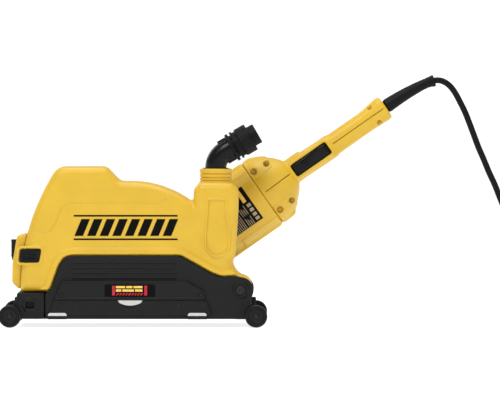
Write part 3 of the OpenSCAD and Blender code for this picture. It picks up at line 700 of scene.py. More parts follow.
def make_hood():
    """The hood's two shells, parted across its width."""
    # Near shell
    p = Points((-232, -79, 17), (80, SPLIT_Y, 211), 0.9)
    flat, outer, inner = hood_fields(p)
    tower = tower_field(p)
    latch = outline(p.x, p.z, LATCH)
    rim = prism(np.abs(latch - 2.2) - 1.7, p.y, NEAR_Y - 1.6, NEAR_Y + 5, 1.3)
    outer = melt(outer, rim, 2.5)
    joined = melt(outer, tower, 8)
    shell = cut(joined, inner)
    for at in SHELL_SCREWS:
        shell = union(shell, rod(p, at, 5, SKIN_Y + 1, SPLIT_Y + 1))
    shell = cut(shell, prism(latch - 0.4, p.y, FRONT, SKIN_Y + 5), 0.6)
    shell = cut(shell, bolt_hole(p, FRONT, 0, 5.2))
    shell = cut(shell, bolt_hole(p, -64, 0, 14))
    shell = common(shell, p.y - (SPLIT_Y - 0.15))
    # The tower's foot laps over it, so that no gap shows round it
    hood = cut(cut(shell, tower + 1.6, 0.3), common(tower - 9, 2.5 - outer), 0.3)
    keep(cast("hood_shell_near", p, hood, YELLOW), "hood", "yellow_plastic", "hood_near")
    # Far shell
    p = Points((-232, SPLIT_Y, 17), (80, HOOD_FAR_Y + 2, 211), 1.1)
    flat, outer, inner = hood_fields(p)
    ribs = union(*[prism(common(disc(p.x, p.z, BACK, 62 + 16 * i), -disc(p.x, p.z, BACK, 59 + 16 * i),
                                flat + 12), p.y, HOOD_FAR_Y - 1, HOOD_FAR_Y + 1.2, 0.8) for i in range(3)])
    shell = cut(melt(outer, ribs, 1), inner)
    for at in SHELL_SCREWS:
        shell = union(shell, rod(p, at, 5, SPLIT_Y - 1, HOOD_FAR_Y - 1))
    shell = cut(shell, rod(p, SPINDLE, NECK_R, -20, 10), 0.8)
    shell = cut(shell, bolt_hole(p, -50, 0, 5.2))
    shell = cut(shell, bolt_hole(p, -50, -12, 14))
    shell = cut(shell, tower_field(p) - 0.3)
    shell = common(shell, SPLIT_Y + 0.15 - p.y)
    for at in CLAMPS + SHELL_SCREWS:
        shell = cut(shell, rod(p, at, 1.7 if at in SHELL_SCREWS else 2.5, -12, 0))
    keep(cast("hood_shell_far", p, shell, YELLOW), "hood", "yellow_plastic", "hood_far")


def make_tower():
    """The dust tower: shoulders, neck, and a rimmed pocket with a round foot on its near face."""
    p = Points((-8, -80, 76), (60, -8, 192), 0.7)
    flat, outer = hood_fields(p)[:2]
    tower = tower_field(p)
    body = melt(outer, tower, 8)
    # Raised panel: square top, round foot, tapering in its upper half
    foot = arc((27.8, 107.5), 15.5, 180, 360, 14)
    slot = [(15.4, 166), (14.6, 145), (12.4, 120)] + foot + [(43.3, 120), (39.6, 145), (38.6, 166)]
    slot = outline(p.x, p.z, softened(slot, 2.5))
    body = melt(body, prism(np.abs(slot) - 1.5, p.y, NEAR_Y - 5.3, NEAR_Y + 3, 0.9), 1)
    body = cut(body, prism(slot + 1.6, p.y, FRONT, NEAR_Y - 3), 1)
    # Raised band down the rear edge, where the hood flares to its hinge
    band = softened([(46.6, 80), (46.6, 126), (49, 134), (60, 142), (60, 80)], 2.5)
    body = melt(body, common(slab(p, band, NEAR_Y - 5.6, NEAR_Y + 3, 0.9), tower - 1.2), 0.9)
    body = common(body, tower - 5.2) + 0.06
    hollow = prism(outline(p.x, p.z, TOWER_SHAPE) + 3.2, p.y, SKIN_Y, -15, 8)
    hollow = union(hollow, prism(disc(p.x, p.y, TOWER, 15), p.z, 160, 200))
    inside_hood = common(flat + 3, SKIN_Y + 3 - p.y)
    body = cut(body, hollow)
    body = cut(body, union(inside_hood, common(flat, SPLIT_Y - p.y)), 0.3)
    keep(cast("dust_tower_shell", p, body, YELLOW), "hood", "yellow_plastic", "dust_tower")


def make_front_cover():
    """The rail on the front wall, with a channel for the depth stop."""
    p = Points((-242, -65, 44), (-215, -11, 124), 0.7)
    shape = softened([(-232.2, 117.5), (-219, 121), (-217, 90), (-219, 47), (-231.3, 50), (-238.6, 57.3),
                      (-238.2, 81)], 2.5)
    rail = slab(p, shape, -62, -14, 3.5)
    rail = cut(rail, disc(p.x, p.z, PIVOT, 286.1))
    rail = cut(rail, brick(p, (-250, -44.6, 58), (-231, -31.4, 125), 1), 0.8)
    for y in (SPLIT_Y - 15, SPLIT_Y + 15):
        rail = cut(rail, brick(p, (-250, y - 2.2, 62), (-235.5, y + 2.2, 104), 1), 1)
    keep(cast("front_rail", p, rail, YELLOW), "hood", "yellow_plastic", "front_cover")


make_hood()
make_tower()
make_front_cover()


# ---- Turned and swept small parts ----

def join(name, pieces):
    """One piece from several, keeping their materials."""
    bm = bmesh.new()
    materials = []
    for piece in pieces:
        start = len(bm.faces)
        offset = len(materials)
        materials += list(piece.data.materials)
        bm.from_mesh(piece.data)
        bm.faces.ensure_lookup_table()
        for face in bm.faces[start:]:
            face.material_index += offset
    mesh = bpy.data.meshes.new(name)
    bm.to_mesh(mesh)
    bm.free()
    for material in materials:
        mesh.materials.append(material)
    for piece in pieces:
        old = piece.data
        bpy.data.objects.remove(piece)
        bpy.data.meshes.remove(old)
    return added(name, mesh)


def plates(name, shapes, low, high, material):
    """Thin plates along Y from low to high, one for each outline in X and Z, with their near edges eased."""
    bm = bmesh.new()
    ease = min(0.15, (high - low) * 0.4)
    for shape in shapes:
        middle = np.mean(shape, axis=0)
        span = np.ptp(shape, axis=0)
        inset = [tuple(middle + (np.array(q) - middle) * (1 - 2 * ease / span)) for q in shape]
        rings = [[bm.verts.new((x, y, z)) for x, z in ring]
                 for ring, y in ((shape, high), (shape, low + ease), (inset, low))]
        bm.faces.new(rings[0])
        bm.faces.new(rings[2][::-1])
        for back, front in zip(rings, rings[1:]):
            for i in range(len(shape)):
                k = (i + 1) % len(shape)
                bm.faces.new((back[i], front[i], front[k], back[k]))
    bmesh.ops.recalc_face_normals(bm, faces=bm.faces)
    mesh = bpy.data.meshes.new(name)
    bm.to_mesh(mesh)
    bm.free()
    mesh.transform(ROW)
    mesh.materials.append(material)
    return added(name, mesh)


def screw(name, x, z, y, r, height, material, place=ROW, length=6.0):
    """A domed cap screw facing -Y from y, with a six-lobed socket, and its shank."""
    step = r / 11
    p = Points((x - r - 1, y - height - 1, z - r - 1), (x + r + 1, y + length + 1, z + r + 1), step)
    flat = disc(p.x, p.z, (x, z), r)
    head = prism(flat, p.y, y - height, y, min(0.35 * r, height * 0.6))
    turn = np.arctan2(p.z - z, p.x - x)
    lobes = np.hypot(p.x - x, p.z - z) - r * (0.45 + 0.07 * np.cos(6 * turn))
    head = cut(head, prism(lobes, p.y, y - height - 2, y - height * 0.35), 0.2)
    shank = rod(p, (x, z), r * 0.55, y - 0.2, y + length)
    return cast(name, p, union(head, shank), material, place)


# ---- Base ----

def lug_field(p, y0, y1, top):
    """Rounded lugs that carry the axles, with their bores."""
    shape = None
    for x in AXLES_X:
        lean = 14 if x < 0 else -14
        web = softened([(x, WHEEL_R - 4), (x, top), (x + lean, top), (x + lean, SOLE[0] + 1)], 2.5, 1)
        flat = melt(disc(p.x, p.z, (x, WHEEL_R), 8), outline(p.x, p.z, web), 4)
        flat = cut(flat, disc(p.x, p.z, (x, WHEEL_R), AXLE_HOLE))
        lug = prism(flat, p.y, y0, y1, 1)
        shape = lug if shape is None else union(shape, lug)
    return shape


def make_base():
    """The sole plate, front block and wheel lugs, as one casting."""
    low, high, top = BLOCK
    p = Points((-252, -75, 4), (90, 52, 47), 0.9)
    sole = brick(p, (low, NEAR_Y + 3, SOLE[0]), (72, FAR_Y, SOLE[1]), 1)
    block = softened([(low, SOLE[0]), (low, top), (high, top), (high, SOLE[0])], 4, 2)
    front = slab(p, block, NEAR_Y, HOOD_FAR_Y, 2)
    front = cut(front, brick(p, (low + 4, NEAR_Y + 12, SOLE[1]), (high - 4, HOOD_FAR_Y - 4, 37), 3))
    body = union(sole, front)
    body = melt(body, brick(p, (50, NEAR_Y + 3, 10.4), (72, HOOD_FAR_Y, 27), 2), 2)
    body = melt(body, brick(p, (low, FAR_Y - 4, 10.4), (72, FAR_Y, 17), 1.2), 2)
    for y in (6, 16, 26, 36):
        body = melt(body, brick(p, (low + 6, y - 1, 12), (66, y + 1, 16), 0.8), 1.5)
    for x in (-190, -150, 30):
        body = melt(body, brick(p, (x - 1, -2, 12), (x + 1, FAR_Y - 2, 16), 0.8), 1.5)
    body = melt(body, lug_field(p, FAR_Y - 6, FAR_Y, 34), 2)
    near_lug = cut(disc(p.x, p.z, (AXLES_X[0], WHEEL_R), 8), disc(p.x, p.z, (AXLES_X[0], WHEEL_R), AXLE_HOLE))
    web = outline(p.x, p.z, [(-236, 10.4), (-229, 10.4), (-229, 38), (-236, 34)])
    body = melt(body, prism(melt(near_lug, web, 3), p.y, NEAR_Y, NEAR_Y + 3, 0.8), 1)
    body = cut(body, brick(p, (-197, -45, 0), (27, -27, 30), 0.5), 0.8)
    body = cut(body, brick(p, (-220.3, NEAR_Y - 5, 24.4), (-209.5, NEAR_Y + 8, 32.6), 0.8), 1)
    body = cut(body, brick(p, (-226, NEAR_Y - 2, 13.5), (-200.5, NEAR_Y + 0.8, 40.5), 3), 1)
    hub = rod(p, (-214.9, 28.5), 9.5, NEAR_Y - 0.2, NEAR_Y + 3, 0.8)
    body = union(body, cut(hub, brick(p, (-220.3, -90, 24.4), (-209.5, 0, 32.6), 0.8)))
    body = cut(body, disc(p.x, p.z, PIVOT, 19.5))
    keep(cast("base_casting", p, body, BLACK), "base", "black_plastic", "base_frame")


def make_panels():
    """The near side panel with its ribs, and the far one."""
    p = Points((-197, -77, 8), (90, NEAR_Y + 4, 95), 0.7)
    flat = outline(p.x, p.z, PANEL)
    flat = union(flat, disc(p.x, p.z, (AXLES_X[1], WHEEL_R), 8))
    panel = prism(flat, p.y, NEAR_Y, NEAR_Y + 3, 1.1)
    # A raised border along the edge, four long ribs and the hinge boss
    border = prism(common(np.abs(flat + 2.6) - 1.3, 52 - p.z), p.y, NEAR_Y - 0.7, NEAR_Y + 1, 0.6)
    panel = melt(panel, border, 1.2)
    for i in range(4):
        z = 82.5 - 6.6 * i
        panel = melt(panel, brick(p, (-159.7, NEAR_Y - 1.5, z), (-26, NEAR_Y + 1, z + 3.1), 1.3), 1)
    panel = melt(panel, rod(p, PIVOT, 10.8, NEAR_Y - 1.6, NEAR_Y + 1, 0.9), 1)
    panel = cut(panel, rod(p, PIVOT, 6.6, FRONT, NEAR_Y - 0.4), 0.5)
    panel = cut(panel, rod(p, (AXLES_X[1], WHEEL_R), AXLE_HOLE, FRONT, 0))
    keep(cast("near_panel_shell", p, panel, BLACK), "base", "black_plastic", "near_panel")
    p = Points((-234, -6.5, 13), (77, 6, 68), 0.9)
    front = softened([(-232, 14), (-232, 40), (-225, 58), (-150, 58), (-136, 30), (-136, 14)], 5)
    rear = softened([(-8, 14), (0, 28), (40, 58), (PIVOT[0], 61), (70, 50), (72, 14)], 5)
    flat = union(outline(p.x, p.z, front), melt(outline(p.x, p.z, rear), disc(p.x, p.z, PIVOT, 17), 3))
    panel = prism(flat, p.y, HOOD_FAR_Y + 1, HOOD_FAR_Y + 5, 0.9)
    rim = prism(np.abs(flat + 2) - 1, p.y, HOOD_FAR_Y + 3, HOOD_FAR_Y + 6.4, 0.8)
    panel = melt(panel, rim, 1)
    panel = union(panel, brick(p, (-140, HOOD_FAR_Y + 1, 13.5), (0, HOOD_FAR_Y + 5, 16), 0.8))
    panel = melt(panel, rod(p, PIVOT, 9, HOOD_FAR_Y + 4, HOOD_FAR_Y + 9, 0.8), 2)
    panel = cut(panel, bolt_hole(p, -20, 20, 5.05))
    keep(cast("far_panel_shell", p, panel, BLACK), "base", "black_plastic", "far_panel")


def make_cover():
    """The cover plate, the lower strip with its sight notch, and the skid tabs."""
    p = Points((-187, -80, 33), (15, NEAR_Y + 1, 62), 0.5)
    shape = softened([(-184.5, 35), (-173.3, 59.9), (-11.5, 59.9), (12, 46.5), (12, 35)], 2.5, 1)
    inner = softened([(-167, 38.6), (-159, 56.6), (-17, 56.6), (2, 45.6), (2, 38.6)], 2.5, 1)
    cover = slab(p, shape, NEAR_Y - 4, NEAR_Y, 1.2)
    cover = cut(cover, slab(p, inner, -90, NEAR_Y - 3.2), 0.6)
    for at in COVER_SCREWS:
        cover = melt(cover, rod(p, at, 4, NEAR_Y - 4.3, NEAR_Y - 2, 0.3), 0.4)
        cover = cut(cover, rod(p, at, 2.5, FRONT, NEAR_Y - 3), 0.4)
    keep(cast("cover_plate_shell", p, cover, BLACK), "base", "black_plastic", "cover_plate")
    p = Points((-190, -79, 14), (23, NEAR_Y + 1, 37), 0.5)
    shape = softened([(-188.5, 16), (-185, 34.7), (13.6, 34.7), (21, 16)], 1.2, 1)
    skirt = slab(p, shape, NEAR_Y - 3.5, NEAR_Y, 0.9)
    lip = brick(p, (-185, NEAR_Y - 4.6, 32.2), (14, NEAR_Y - 1, 34.7), 0.8)
    skirt = melt(skirt, lip, 1)
    scoop = rod(p, SIGHT, 17.5, FRONT, NEAR_Y - 1.4)
    ring = prism(np.abs(disc(p.x, p.z, SIGHT, 18.6)) - 0.9, p.y, NEAR_Y - 4.2, NEAR_Y - 2, 0.5)
    skirt = melt(skirt, common(ring, p.z - 32.5), 0.8)
    skirt = cut(skirt, common(scoop, p.z - 35), 0.5)
    keep(cast("skirt_shell", p, skirt, BLACK), "base", "black_plastic", "skirt_strip")
    # Metal sight strip behind the scoop; its upper edge stands just above the skirt's top edge as a painted
    # highlight along that edge
    lens = [(-122, 34.9)] + arc((BACK[0], 57), 29, 232, 308, 20) + [(-48, 34.9)]
    lens = [(x, min(z, 34.9)) for x, z in lens]
    strip_with_highlight = plates("sight_strip", [lens], NEAR_Y - 1.7, NEAR_Y - 1.2, ZINC)
    keep(strip_with_highlight, "base", "steel")
    tabs = []
    for x in (-191.4, -10.5):
        shape = softened([(x, 14.8), (x, 16.5), (x + 2, 18.7), (x + 22.5, 18.7), (x + 24.5, 16.5),
                          (x + 24.5, 14.8)], 0.8, 1)
        tabs.append(plates("tab", [shape], NEAR_Y - 5.5, NEAR_Y - 4.3, ZINC))
        leg = [(x, 10.4), (x, 14.8), (x + 24.5, 14.8), (x + 24.5, 10.4)]
        tabs.append(plates("leg", [leg], NEAR_Y - 5.3, NEAR_Y - 4.3, BLACK))
        foot = [(x, 10.4), (x, 11.4), (x + 24.5, 11.4), (x + 24.5, 10.4)]
        tabs.append(plates("foot", [foot], NEAR_Y - 4.5, NEAR_Y + 1, ZINC))
    keep(join("skid_plates", tabs), "base", "steel", "skid_tabs")


def make_base_label():
    """A rounded black label with red end bars, plain gold bars and red hazard stripes."""
    y = NEAR_Y - 3.7
    ground = softened([(-118, 39.5), (-118, 55.4), (-52.6, 55.4), (-52.6, 39.5)], 2.2, 1)
    parts = [plates("label_ground", [ground], y, y + 0.5, INK)]
    ends = [[(x, 41.2), (x, 53.8), (x + 3.6, 53.8), (x + 3.6, 41.2)] for x in (-108.2, -66.6)]
    stripes = [[(x, 41.4), (x + 2.6, 44.6), (x + 4.6, 44.6), (x + 2.0, 41.4)]
               for x in np.arange(-103.5, -71, 3.9)]
    parts.append(plates("label_red", ends + stripes, y - 0.12, y + 0.1, RED_INK))
    bars = [[(x, z), (x, z + 2.9), (x + w, z + 2.9), (x + w, z)]
            for x, z, w in ((-103.4, 50.6, 12), (-90, 50.6, 8), (-80.6, 50.6, 11.6),
                            (-103.4, 46.2, 7), (-95, 46.2, 15), (-78.6, 46.2, 9.6))]
    parts.append(plates("label_gold", bars, y - 0.12, y + 0.1, GOLD_INK))
    keep(join("panel_sticker", parts), "base", "label_black", "panel_label")


def make_fasteners():
    """Cover screws, skirt studs, and the hinge bolt with its nut, washer and spring."""
    parts = []
    for x, z in COVER_SCREWS:
        parts.append(screw("cover_screw", x, z, NEAR_Y - 3.3, 2.2, 0.9, DARK_STEEL))
    for x in (-180, -155.3, -22, 9.6):
        parts.append(screw("skirt_stud", x, 29.8, NEAR_Y - 3.4, 1.7, 0.7, DARK_STEEL))
    keep(join("cover_screws", parts), "base", "steel", "base_screws")
    bolt = screw("hinge_head", *PIVOT, NEAR_Y - 0.5, 6.1, 2.1, DARK_STEEL)
    shaft = turned("hinge_shaft", [(0, 0), (5, 0), (5, 61.5), (0, 61.5)], STEEL,
                   along_y(*PIVOT, HOOD_FAR_Y - 6))
    nut = turned("hinge_nut", [(4.9, 0), (8, 0), (8, 3.6), (5, 3.6), (5, 6), (0, 6), (0, 0)], ZINC,
                 along_y(*PIVOT, HOOD_FAR_Y + 9) @ Matrix.Rotation(math.pi, 4, "X"), sides=6)
    washer = [(5.6, 0), (10.6, 0), (10.6, 0.7), (9.9, 1.5), (8.7, 1.5), (8.1, 0.6), (5.6, 0.6)]
    washer = turned("hinge_washer", washer, BLACK, along_y(*PIVOT, NEAR_Y - 0.4))
    keep(join("hinge_bolt", [bolt, shaft, nut, washer]), "base", "steel", "pivot_bolt")
    turn = np.linspace(0, 8 * 2 * math.pi, 8 * 40)
    helix = np.stack([PIVOT[0] + 9.5 * np.cos(turn), np.linspace(-58.8, -19.2, len(turn)),
                      PIVOT[1] + 9.5 * np.sin(turn)], 1)
    keep(sweep("hinge_spring", helix, 1.2, STEEL, sides=12), "base", "steel", "pivot_spring")


def make_wheels():
    """Hard plastic rollers with a dished face, a hub and a fine tread groove, on steel axles."""
    names = {(0, 0): "front_near", (0, 1): "front_far", (1, 0): "rear_near", (1, 1): "rear_far"}
    r, w = WHEEL_R, WHEEL_W
    profile = [(3.06, 0), (3.06, w, 0.2), (4.6, w), (4.9, w - 0.9), (8.2, w - 0.9), (9, w - 0.2), (9.6, w - 1.5),
               (11.6, w - 1.5), (12.1, w, 0.5), (13.4, w, 0.9), (r, w - 1.3, 0.9), (r, 6.9), (r - 0.4, 6.6, 0.2),
               (r - 0.4, 5.4, 0.2), (r, 5.1), (r, 1.3, 0.9), (13.4, 0, 0.9), (12.1, 0), (11.6, 1.5), (9.6, 1.5),
               (9, 0.2), (4.6, 0)]
    for (i, j), name in names.items():
        place = along_y(AXLES_X[i], WHEEL_R, WHEELS_Y[j] + w)
        keep(turned("wheel_" + name + "_tyre", profile, BLACK, place), name + "_wheel", "black_plastic",
             "wheel_" + name)
    far = WHEELS_Y[1] + w + 0.5
    long = far - (WHEELS_Y[0] - 0.5)
    axle = [(0, 0), (2.4, 0), (3, 0.7), (3, long - 0.7), (2.4, long), (1.2, long), (0.8, long - 0.6),
            (0, long - 0.6)]
    rods = [turned("axle", axle, DARK_STEEL, along_y(x, WHEEL_R, far)) for x in AXLES_X]
    keep(join("axle_rods", rods), "base", "steel", "wheel_axles")


make_base()
make_panels()
make_cover()
make_base_label()
make_fasteners()
make_wheels()


# ---- Small parts on the hood ----

def make_emblem():
    """Plain decoration: two bars with a row of slanted blocks between them."""
    y0, y1 = NEAR_Y - 0.45, NEAR_Y + 0.1
    bars = [[(-158, z), (-158, z + 2.1), (-23.6, z + 2.1), (-23.6, z)] for z in (112.8, 143.2)]
    blocks = [[(x, 118.2), (x + 9, 140), (x + 20, 140), (x + 11, 118.2)] for x in np.arange(-157, -38, 16.3)]
    keep(plates("hood_stripes", bars + blocks, y0, y1, INK), "hood", "black_plastic", "hood_emblem")


def make_latch():
    """The push button with its grip ribs, and the depth stop on the front rail."""
    p = Points((-231, -78, 80), (-198, SKIN_Y + 3, 103), 0.4)
    flat = outline(p.x, p.z, LATCH)
    button = prism(flat + 0.1, p.y, NEAR_Y - 2.2, SKIN_Y + 1, 1.4)
    field = common(np.abs(p.x + 215) - 8.5, flat + 2.5)
    for i in range(5):
        groove = common(np.abs(p.z - 86.6 - 2.6 * i) - 0.65, field)
        button = cut(button, prism(groove, p.y, FRONT, NEAR_Y - 1), 0.4)
    keep(cast("latch_key", p, button, GLOSS), "latch", "black_plastic", "latch_button")
    p = Points((-242, -46, 82), (-229, -30, 115), 0.4)
    shape = softened([(-240.5, 112.6), (-231.5, 112.6), (-231.5, 84.6), (-238.5, 84.6), (-240.5, 92)], 1.2, 1)
    slider = slab(p, shape, -44, -32, 1.2)
    for z in 93 + 2.6 * np.arange(7):
        slider = cut(slider, brick(p, (-243, -50, z), (-239.9, -20, z + 1.2), 0.4), 0.4)
    keep(cast("depth_stop_slider", p, slider, BLACK), "depth_stop", "black_plastic", "depth_slider")


def make_outlet():
    """The collar, elbow, flange and hose connector."""
    bend_r, pipe_end = 24, 45
    up = ROW @ Matrix.Translation((TOWER[0], TOWER[1], 0))
    collar = [(13.56, 189.8), (13.56, 204.8, 0.6), (20, 204.8, 0.8), (20.85, 203.9), (20.85, 198.9, 0.6),
              (19.3, 198.7, 0.4), (19.3, 197.5, 0.4), (20.85, 197.3, 0.6), (20.85, 194, 0.6),
              (19.3, 193.8, 0.4), (19.3, 192.6, 0.4), (20.85, 192.4, 0.6), (20.85, 189.8, 0.4)]
    keep(turned("collar_ring", collar, YELLOW, up), "hood", "yellow_plastic", "tower_collar")
    seal = [(13.6, 204.9), (13.6, 205.8), (16.4, 205.8), (16.4, 204.9)]
    keep(turned("seal_ring", seal, RUBBER, up, soft=0.3), "swivel_elbow", "black_rubber", "elbow_seal")
    centre = (TOWER[0] + bend_r, BEND_Z - bend_r * math.tan((math.pi / 2 - OUTLET) / 2))
    line = [(TOWER[0], 191.8)] + arc(centre, bend_r, 180, 120, 24)
    line.append((TOWER[0] + pipe_end * math.cos(OUTLET), BEND_Z + pipe_end * math.sin(OUTLET)))
    p = Points((TOWER[0] - 17, TOWER[1] - 17, 190), (TOWER[0] + 50, TOWER[1] + 17, 262), 0.6)
    near = np.full((p.x.size, 1, p.z.size), 1e9, np.float32)
    for (a0, b0), (a1, b1) in zip(line, line[1:]):
        da, db = a1 - a0, b1 - b0
        t = np.clip(((p.x - a0) * da + (p.z - b0) * db) / (da * da + db * db), 0, 1)
        near = np.minimum(near, np.hypot(p.x - a0 - t * da, p.z - b0 - t * db))
    side = p.y - TOWER[1]
    away = np.hypot(near, side)
    along = (p.x - TOWER[0]) * math.cos(OUTLET) + (p.z - BEND_Z) * math.sin(OUTLET)
    tube = away - 13.5 - 0.3 * np.exp(-(side / 0.6) ** 2)
    for at, thick, middle, reach, tall in ((0, 1.1, 17, 6, 16.4), (-9.5, 0.9, 18.5, 4.5, 15.6),
                                           (9.5, 0.9, 18.5, 4.5, 15.6)):
        gusset = common(np.abs(side - at) - thick, np.abs(along - middle) - reach, away - tall)
        tube = melt(tube, gusset, 1)
    tube = common(tube, 191.8 - p.z, along - pipe_end)
    tube = cut(tube, away - 11.5, 0.5)
    keep(cast("elbow_tube", p, tube, GLOSS), "swivel_elbow", "black_plastic", "elbow")
    p = Points((-22, -22, 21), (22, 22, 32), 0.45)
    turn = np.arctan2(p.y, p.x)
    wide = np.hypot(p.x, p.y)
    notch = 0.9 * np.clip(np.cos(10 * turn) * 4 - 2.6, 0, 1)
    ring = prism(wide - 19.2 + notch, p.z, 23.2, 27.2, 0.8)
    ring = union(ring, prism(wide - 15.5, p.z, 26, 29.6, 0.3))
    ring = cut(ring, wide - 13.5)
    keep(cast("swivel_flange", p, ring, RUBBER, SPOUT), "swivel_elbow", "black_plastic", "elbow_flange")
    p = Points((-22, -22, 28), (22, 22, 64), 0.5)
    turn = np.arctan2(p.y, p.x)
    wide = np.hypot(p.x, p.y)
    notch = np.clip(np.cos(8 * turn + 0.4) * 4 - 2.8, 0, 1)
    flute = 0.28 * np.clip(np.cos(24 * turn), -0.4, 1) * (np.abs(p.z - 44.6) < 5.6)
    shape = prism(wide - 19.1 + notch, p.z, 29.9, 32.9, 0.7)
    shape = union(shape, prism(wide - 17, p.z, 30, 40, 0.5))
    shape = melt(shape, prism(wide - 18.85 + flute, p.z, 36.9, 52.6, 1.2), 0.8)
    shape = union(shape, prism(wide - 18.85, p.z, 50.4, 52.6, 0.9))
    shape = melt(shape, prism(wide - 13.5, p.z, 50, 62.4, 0.8), 1)
    shape = cut(shape, prism(wide - 13.62, p.z, 20, 45.5), 0.3)
    shape = cut(shape, wide - 11.5, 0.6)
    keep(cast("hose_socket", p, shape, RUBBER, SPOUT), "connector", "black_plastic", "hose_connector")


def make_clamp():
    """The split clamp round the grinder's neck, its ears and screw, and the hood's own screws."""
    x0, z0 = SPINDLE
    p = Points((x0 - 54, HOOD_FAR_Y - 1, z0 - 48), (x0 + 50, HOOD_FAR_Y + 11, z0 + 52), 0.7)
    flat = disc(p.x, p.z, SPINDLE, NECK_R + 5)
    clamp = prism(flat, p.y, HOOD_FAR_Y, HOOD_FAR_Y + 9, 1.2)
    for at in CLAMPS:
        clamp = melt(clamp, rod(p, at, 6, HOOD_FAR_Y, HOOD_FAR_Y + 4, 0.8), 4)
    for low, high in ((2, 10), (-10, -2)):
        ear = brick(p, (x0 - 48, HOOD_FAR_Y + 1, z0 + low), (x0 - 30.5, HOOD_FAR_Y + 9, z0 + high), 1.5)
        clamp = melt(clamp, ear, 2)
    clamp = cut(clamp, disc(p.x, p.z, SPINDLE, NECK_R + 0.05))
    clamp = cut(clamp, brick(p, (x0 - 60, -20, z0 - 1.6), (x0 - 25, 20, z0 + 1.6)), 0.4)
    keep(cast("neck_clamp", p, clamp, CAST), "hood", "cast_aluminium", "mount_clamp")
    heads = []
    for at in SHELL_SCREWS + CLAMPS:
        place = ROW @ Matrix.Translation((at[0], 0, at[1])) @ Matrix.Rotation(math.pi, 4, "Z")
        y, r, height, length = (-HOOD_FAR_Y, 3.4, 1.9, 6) if at in SHELL_SCREWS else (2.0, 4.3, 3.8, 10)
        heads.append(screw("hood_head", 0, 0, y, r, height, ZINC, place, length))
    keep(join("hood_bolts", heads), "hood", "steel", "hood_screws")


make_emblem()
make_latch()
make_outlet()
make_clamp()


# ---- Grinder, in its own frame: X along the motor axis from the spindle, Y along the spindle ----

LOCK_X = -16  # spindle lock
BUTTON_X = 285  # lock button
GEAR_BOLTS = [(40.5 * math.cos(a), 40.5 * math.sin(a)) for a in np.radians((45, 135, 225, 315))]


def make_gear_case():
    """The cast gear head with its cooling ribs, neck, flange and flange bolts."""
    p = Points((-44, -55, -50), (76, 49, 50), 0.9)
    wide = np.hypot(p.y, p.z)
    taper = 33.5 + 12 * np.clip((p.x - 4) / 62, 0, 1)
    cone = prism(wide - taper, p.x, 0, 75, 3)
    head = rod(p, (-3, 0), 32.8, -34, 38, 9)
    case = melt(head, cone, 14)
    case = cut(case, rod(p, (0, 0), 47, -70, -38.6), 1)
    case = melt(case, rod(p, (0, 0), NECK_R, -54, -28, 0.6), 1)
    flange = prism(wide - 46, p.x, 69, 75, 1)
    case = melt(case, flange, 2)
    for at in GEAR_BOLTS:
        case = melt(case, prism(disc(p.y, p.z, at, 6.5), p.x, 56, 75, 2), 4)
        case = cut(case, prism(disc(p.y, p.z, at, 4.2), p.x, 40, 58.5), 0.5)
    for i in range(5):
        case = melt(case, common(np.abs(p.x - 8 - 8 * i) - 0.9, wide - taper - 1.4, np.abs(p.z) - 60), 2)
    for s in (-1, 1):
        case = melt(case, rod(p, (28, s * 22), 1, -10, 10, 0.5), 1)
    case = melt(case, rod(p, (28, 0), 10, 20, 44, 1.2), 4)
    case = cut(case, rod(p, (28, 0), 6, 32, 60), 0.5)
    case = melt(case, rod(p, (LOCK_X, 0), 9.5, 20, 41, 1.5), 4)
    case = cut(case, rod(p, (LOCK_X, 0), 7.6, 35, 60), 0.5)
    case = cut(case, rod(p, (LOCK_X, 0), 5.8, 26, 60))
    case = cut(case, rod(p, (0, 0), 30.2, -30, 8, 2))
    case = cut(case, rod(p, (0, 0), 24.9, -60, -29))
    case = cut(case, prism(wide - 41, p.x, 60, 80))
    keep(cast("gear_housing", p, case, CAST, TOOL), "hood", "cast_aluminium", "gear_case")
    bolts = []
    for at in GEAR_BOLTS:
        place = TOOL @ Matrix.Translation((58.5, *at)) @ Matrix.Rotation(-math.pi / 2, 4, "Z")
        bolts.append(screw("gear_bolt", 0, 0, 0, 3.6, 3, ZINC, place))
    keep(join("gear_housing_bolts", bolts), "hood", "steel")


def make_field_case():
    """The motor housing between the gear head and the rear shells."""
    p = Points((73, -51, -51), (209, 51, 53), 0.9)
    wide = np.hypot(p.y, p.z)
    round_case = wide - 45.2 - 1.2 * np.clip((p.x - 90) / 100, 0, 1)
    case = prism(round_case, p.x, 75, 206.8, 1.2)
    # Raised bands above and below, rails along their middles, and air slots round the gear end
    band = common(round_case - 1.1, 35 - np.abs(p.z), np.abs(p.x - 178) - 28)
    case = melt(case, band, 1)
    case = melt(case, brick(p, (165, -15, 34), (204.8, 15, 47.9), 2.5), 3)
    case = melt(case, brick(p, (112, -14, -48.6), (204.8, 14, -34), 2.5), 3)
    turn = np.arctan2(p.y, p.z)
    for i in range(16):
        a = math.radians(22.5 * i + 11.25)
        near = np.abs((turn - a + math.pi) % (2 * math.pi) - math.pi) * 45 - 3
        if abs(math.sin(a)) > 0.5:
            case = cut(case, prism(near, p.x, 83, 103, 1.8) * 0.9, 0.8)
    case = cut(case, prism(wide - 42, p.x, 70, 193, 1))
    case = cut(case, prism(wide - 11, p.x, 180, 215))
    keep(cast("field_housing", p, case, YELLOW, TOOL), "hood", "yellow_plastic", "field_case")


REAR = softened(
    [(207, -30), (207, 46.2), (213, 46.5), (220, 45.6), (228, 42.4), (235, 38.2), (241, 33.4), (246.5, 28),
     (250.5, 23.4), (253, 19.8), (254.6, 16.6), (262, 16.3), (317, 16), (321, 14.6), (370, 14.4), (388, 15.6),
     (397, 16.8), (402, 16.6), (404.4, 15.2), (405, 12.5), (405, -30)], 1.6, 2)
# Screws of the rear shells: place, radius of the recess and its floor
RECESSES = [(214, 30, 4.4, -30), (214, -30, 4.4, -30), (386.5, 12, 3.2, -8.6), (386.5, -12, 3.2, -8.6),
            (233.5, 29, 3.9, -20.5), (233.5, -29, 3.9, -20.5)]


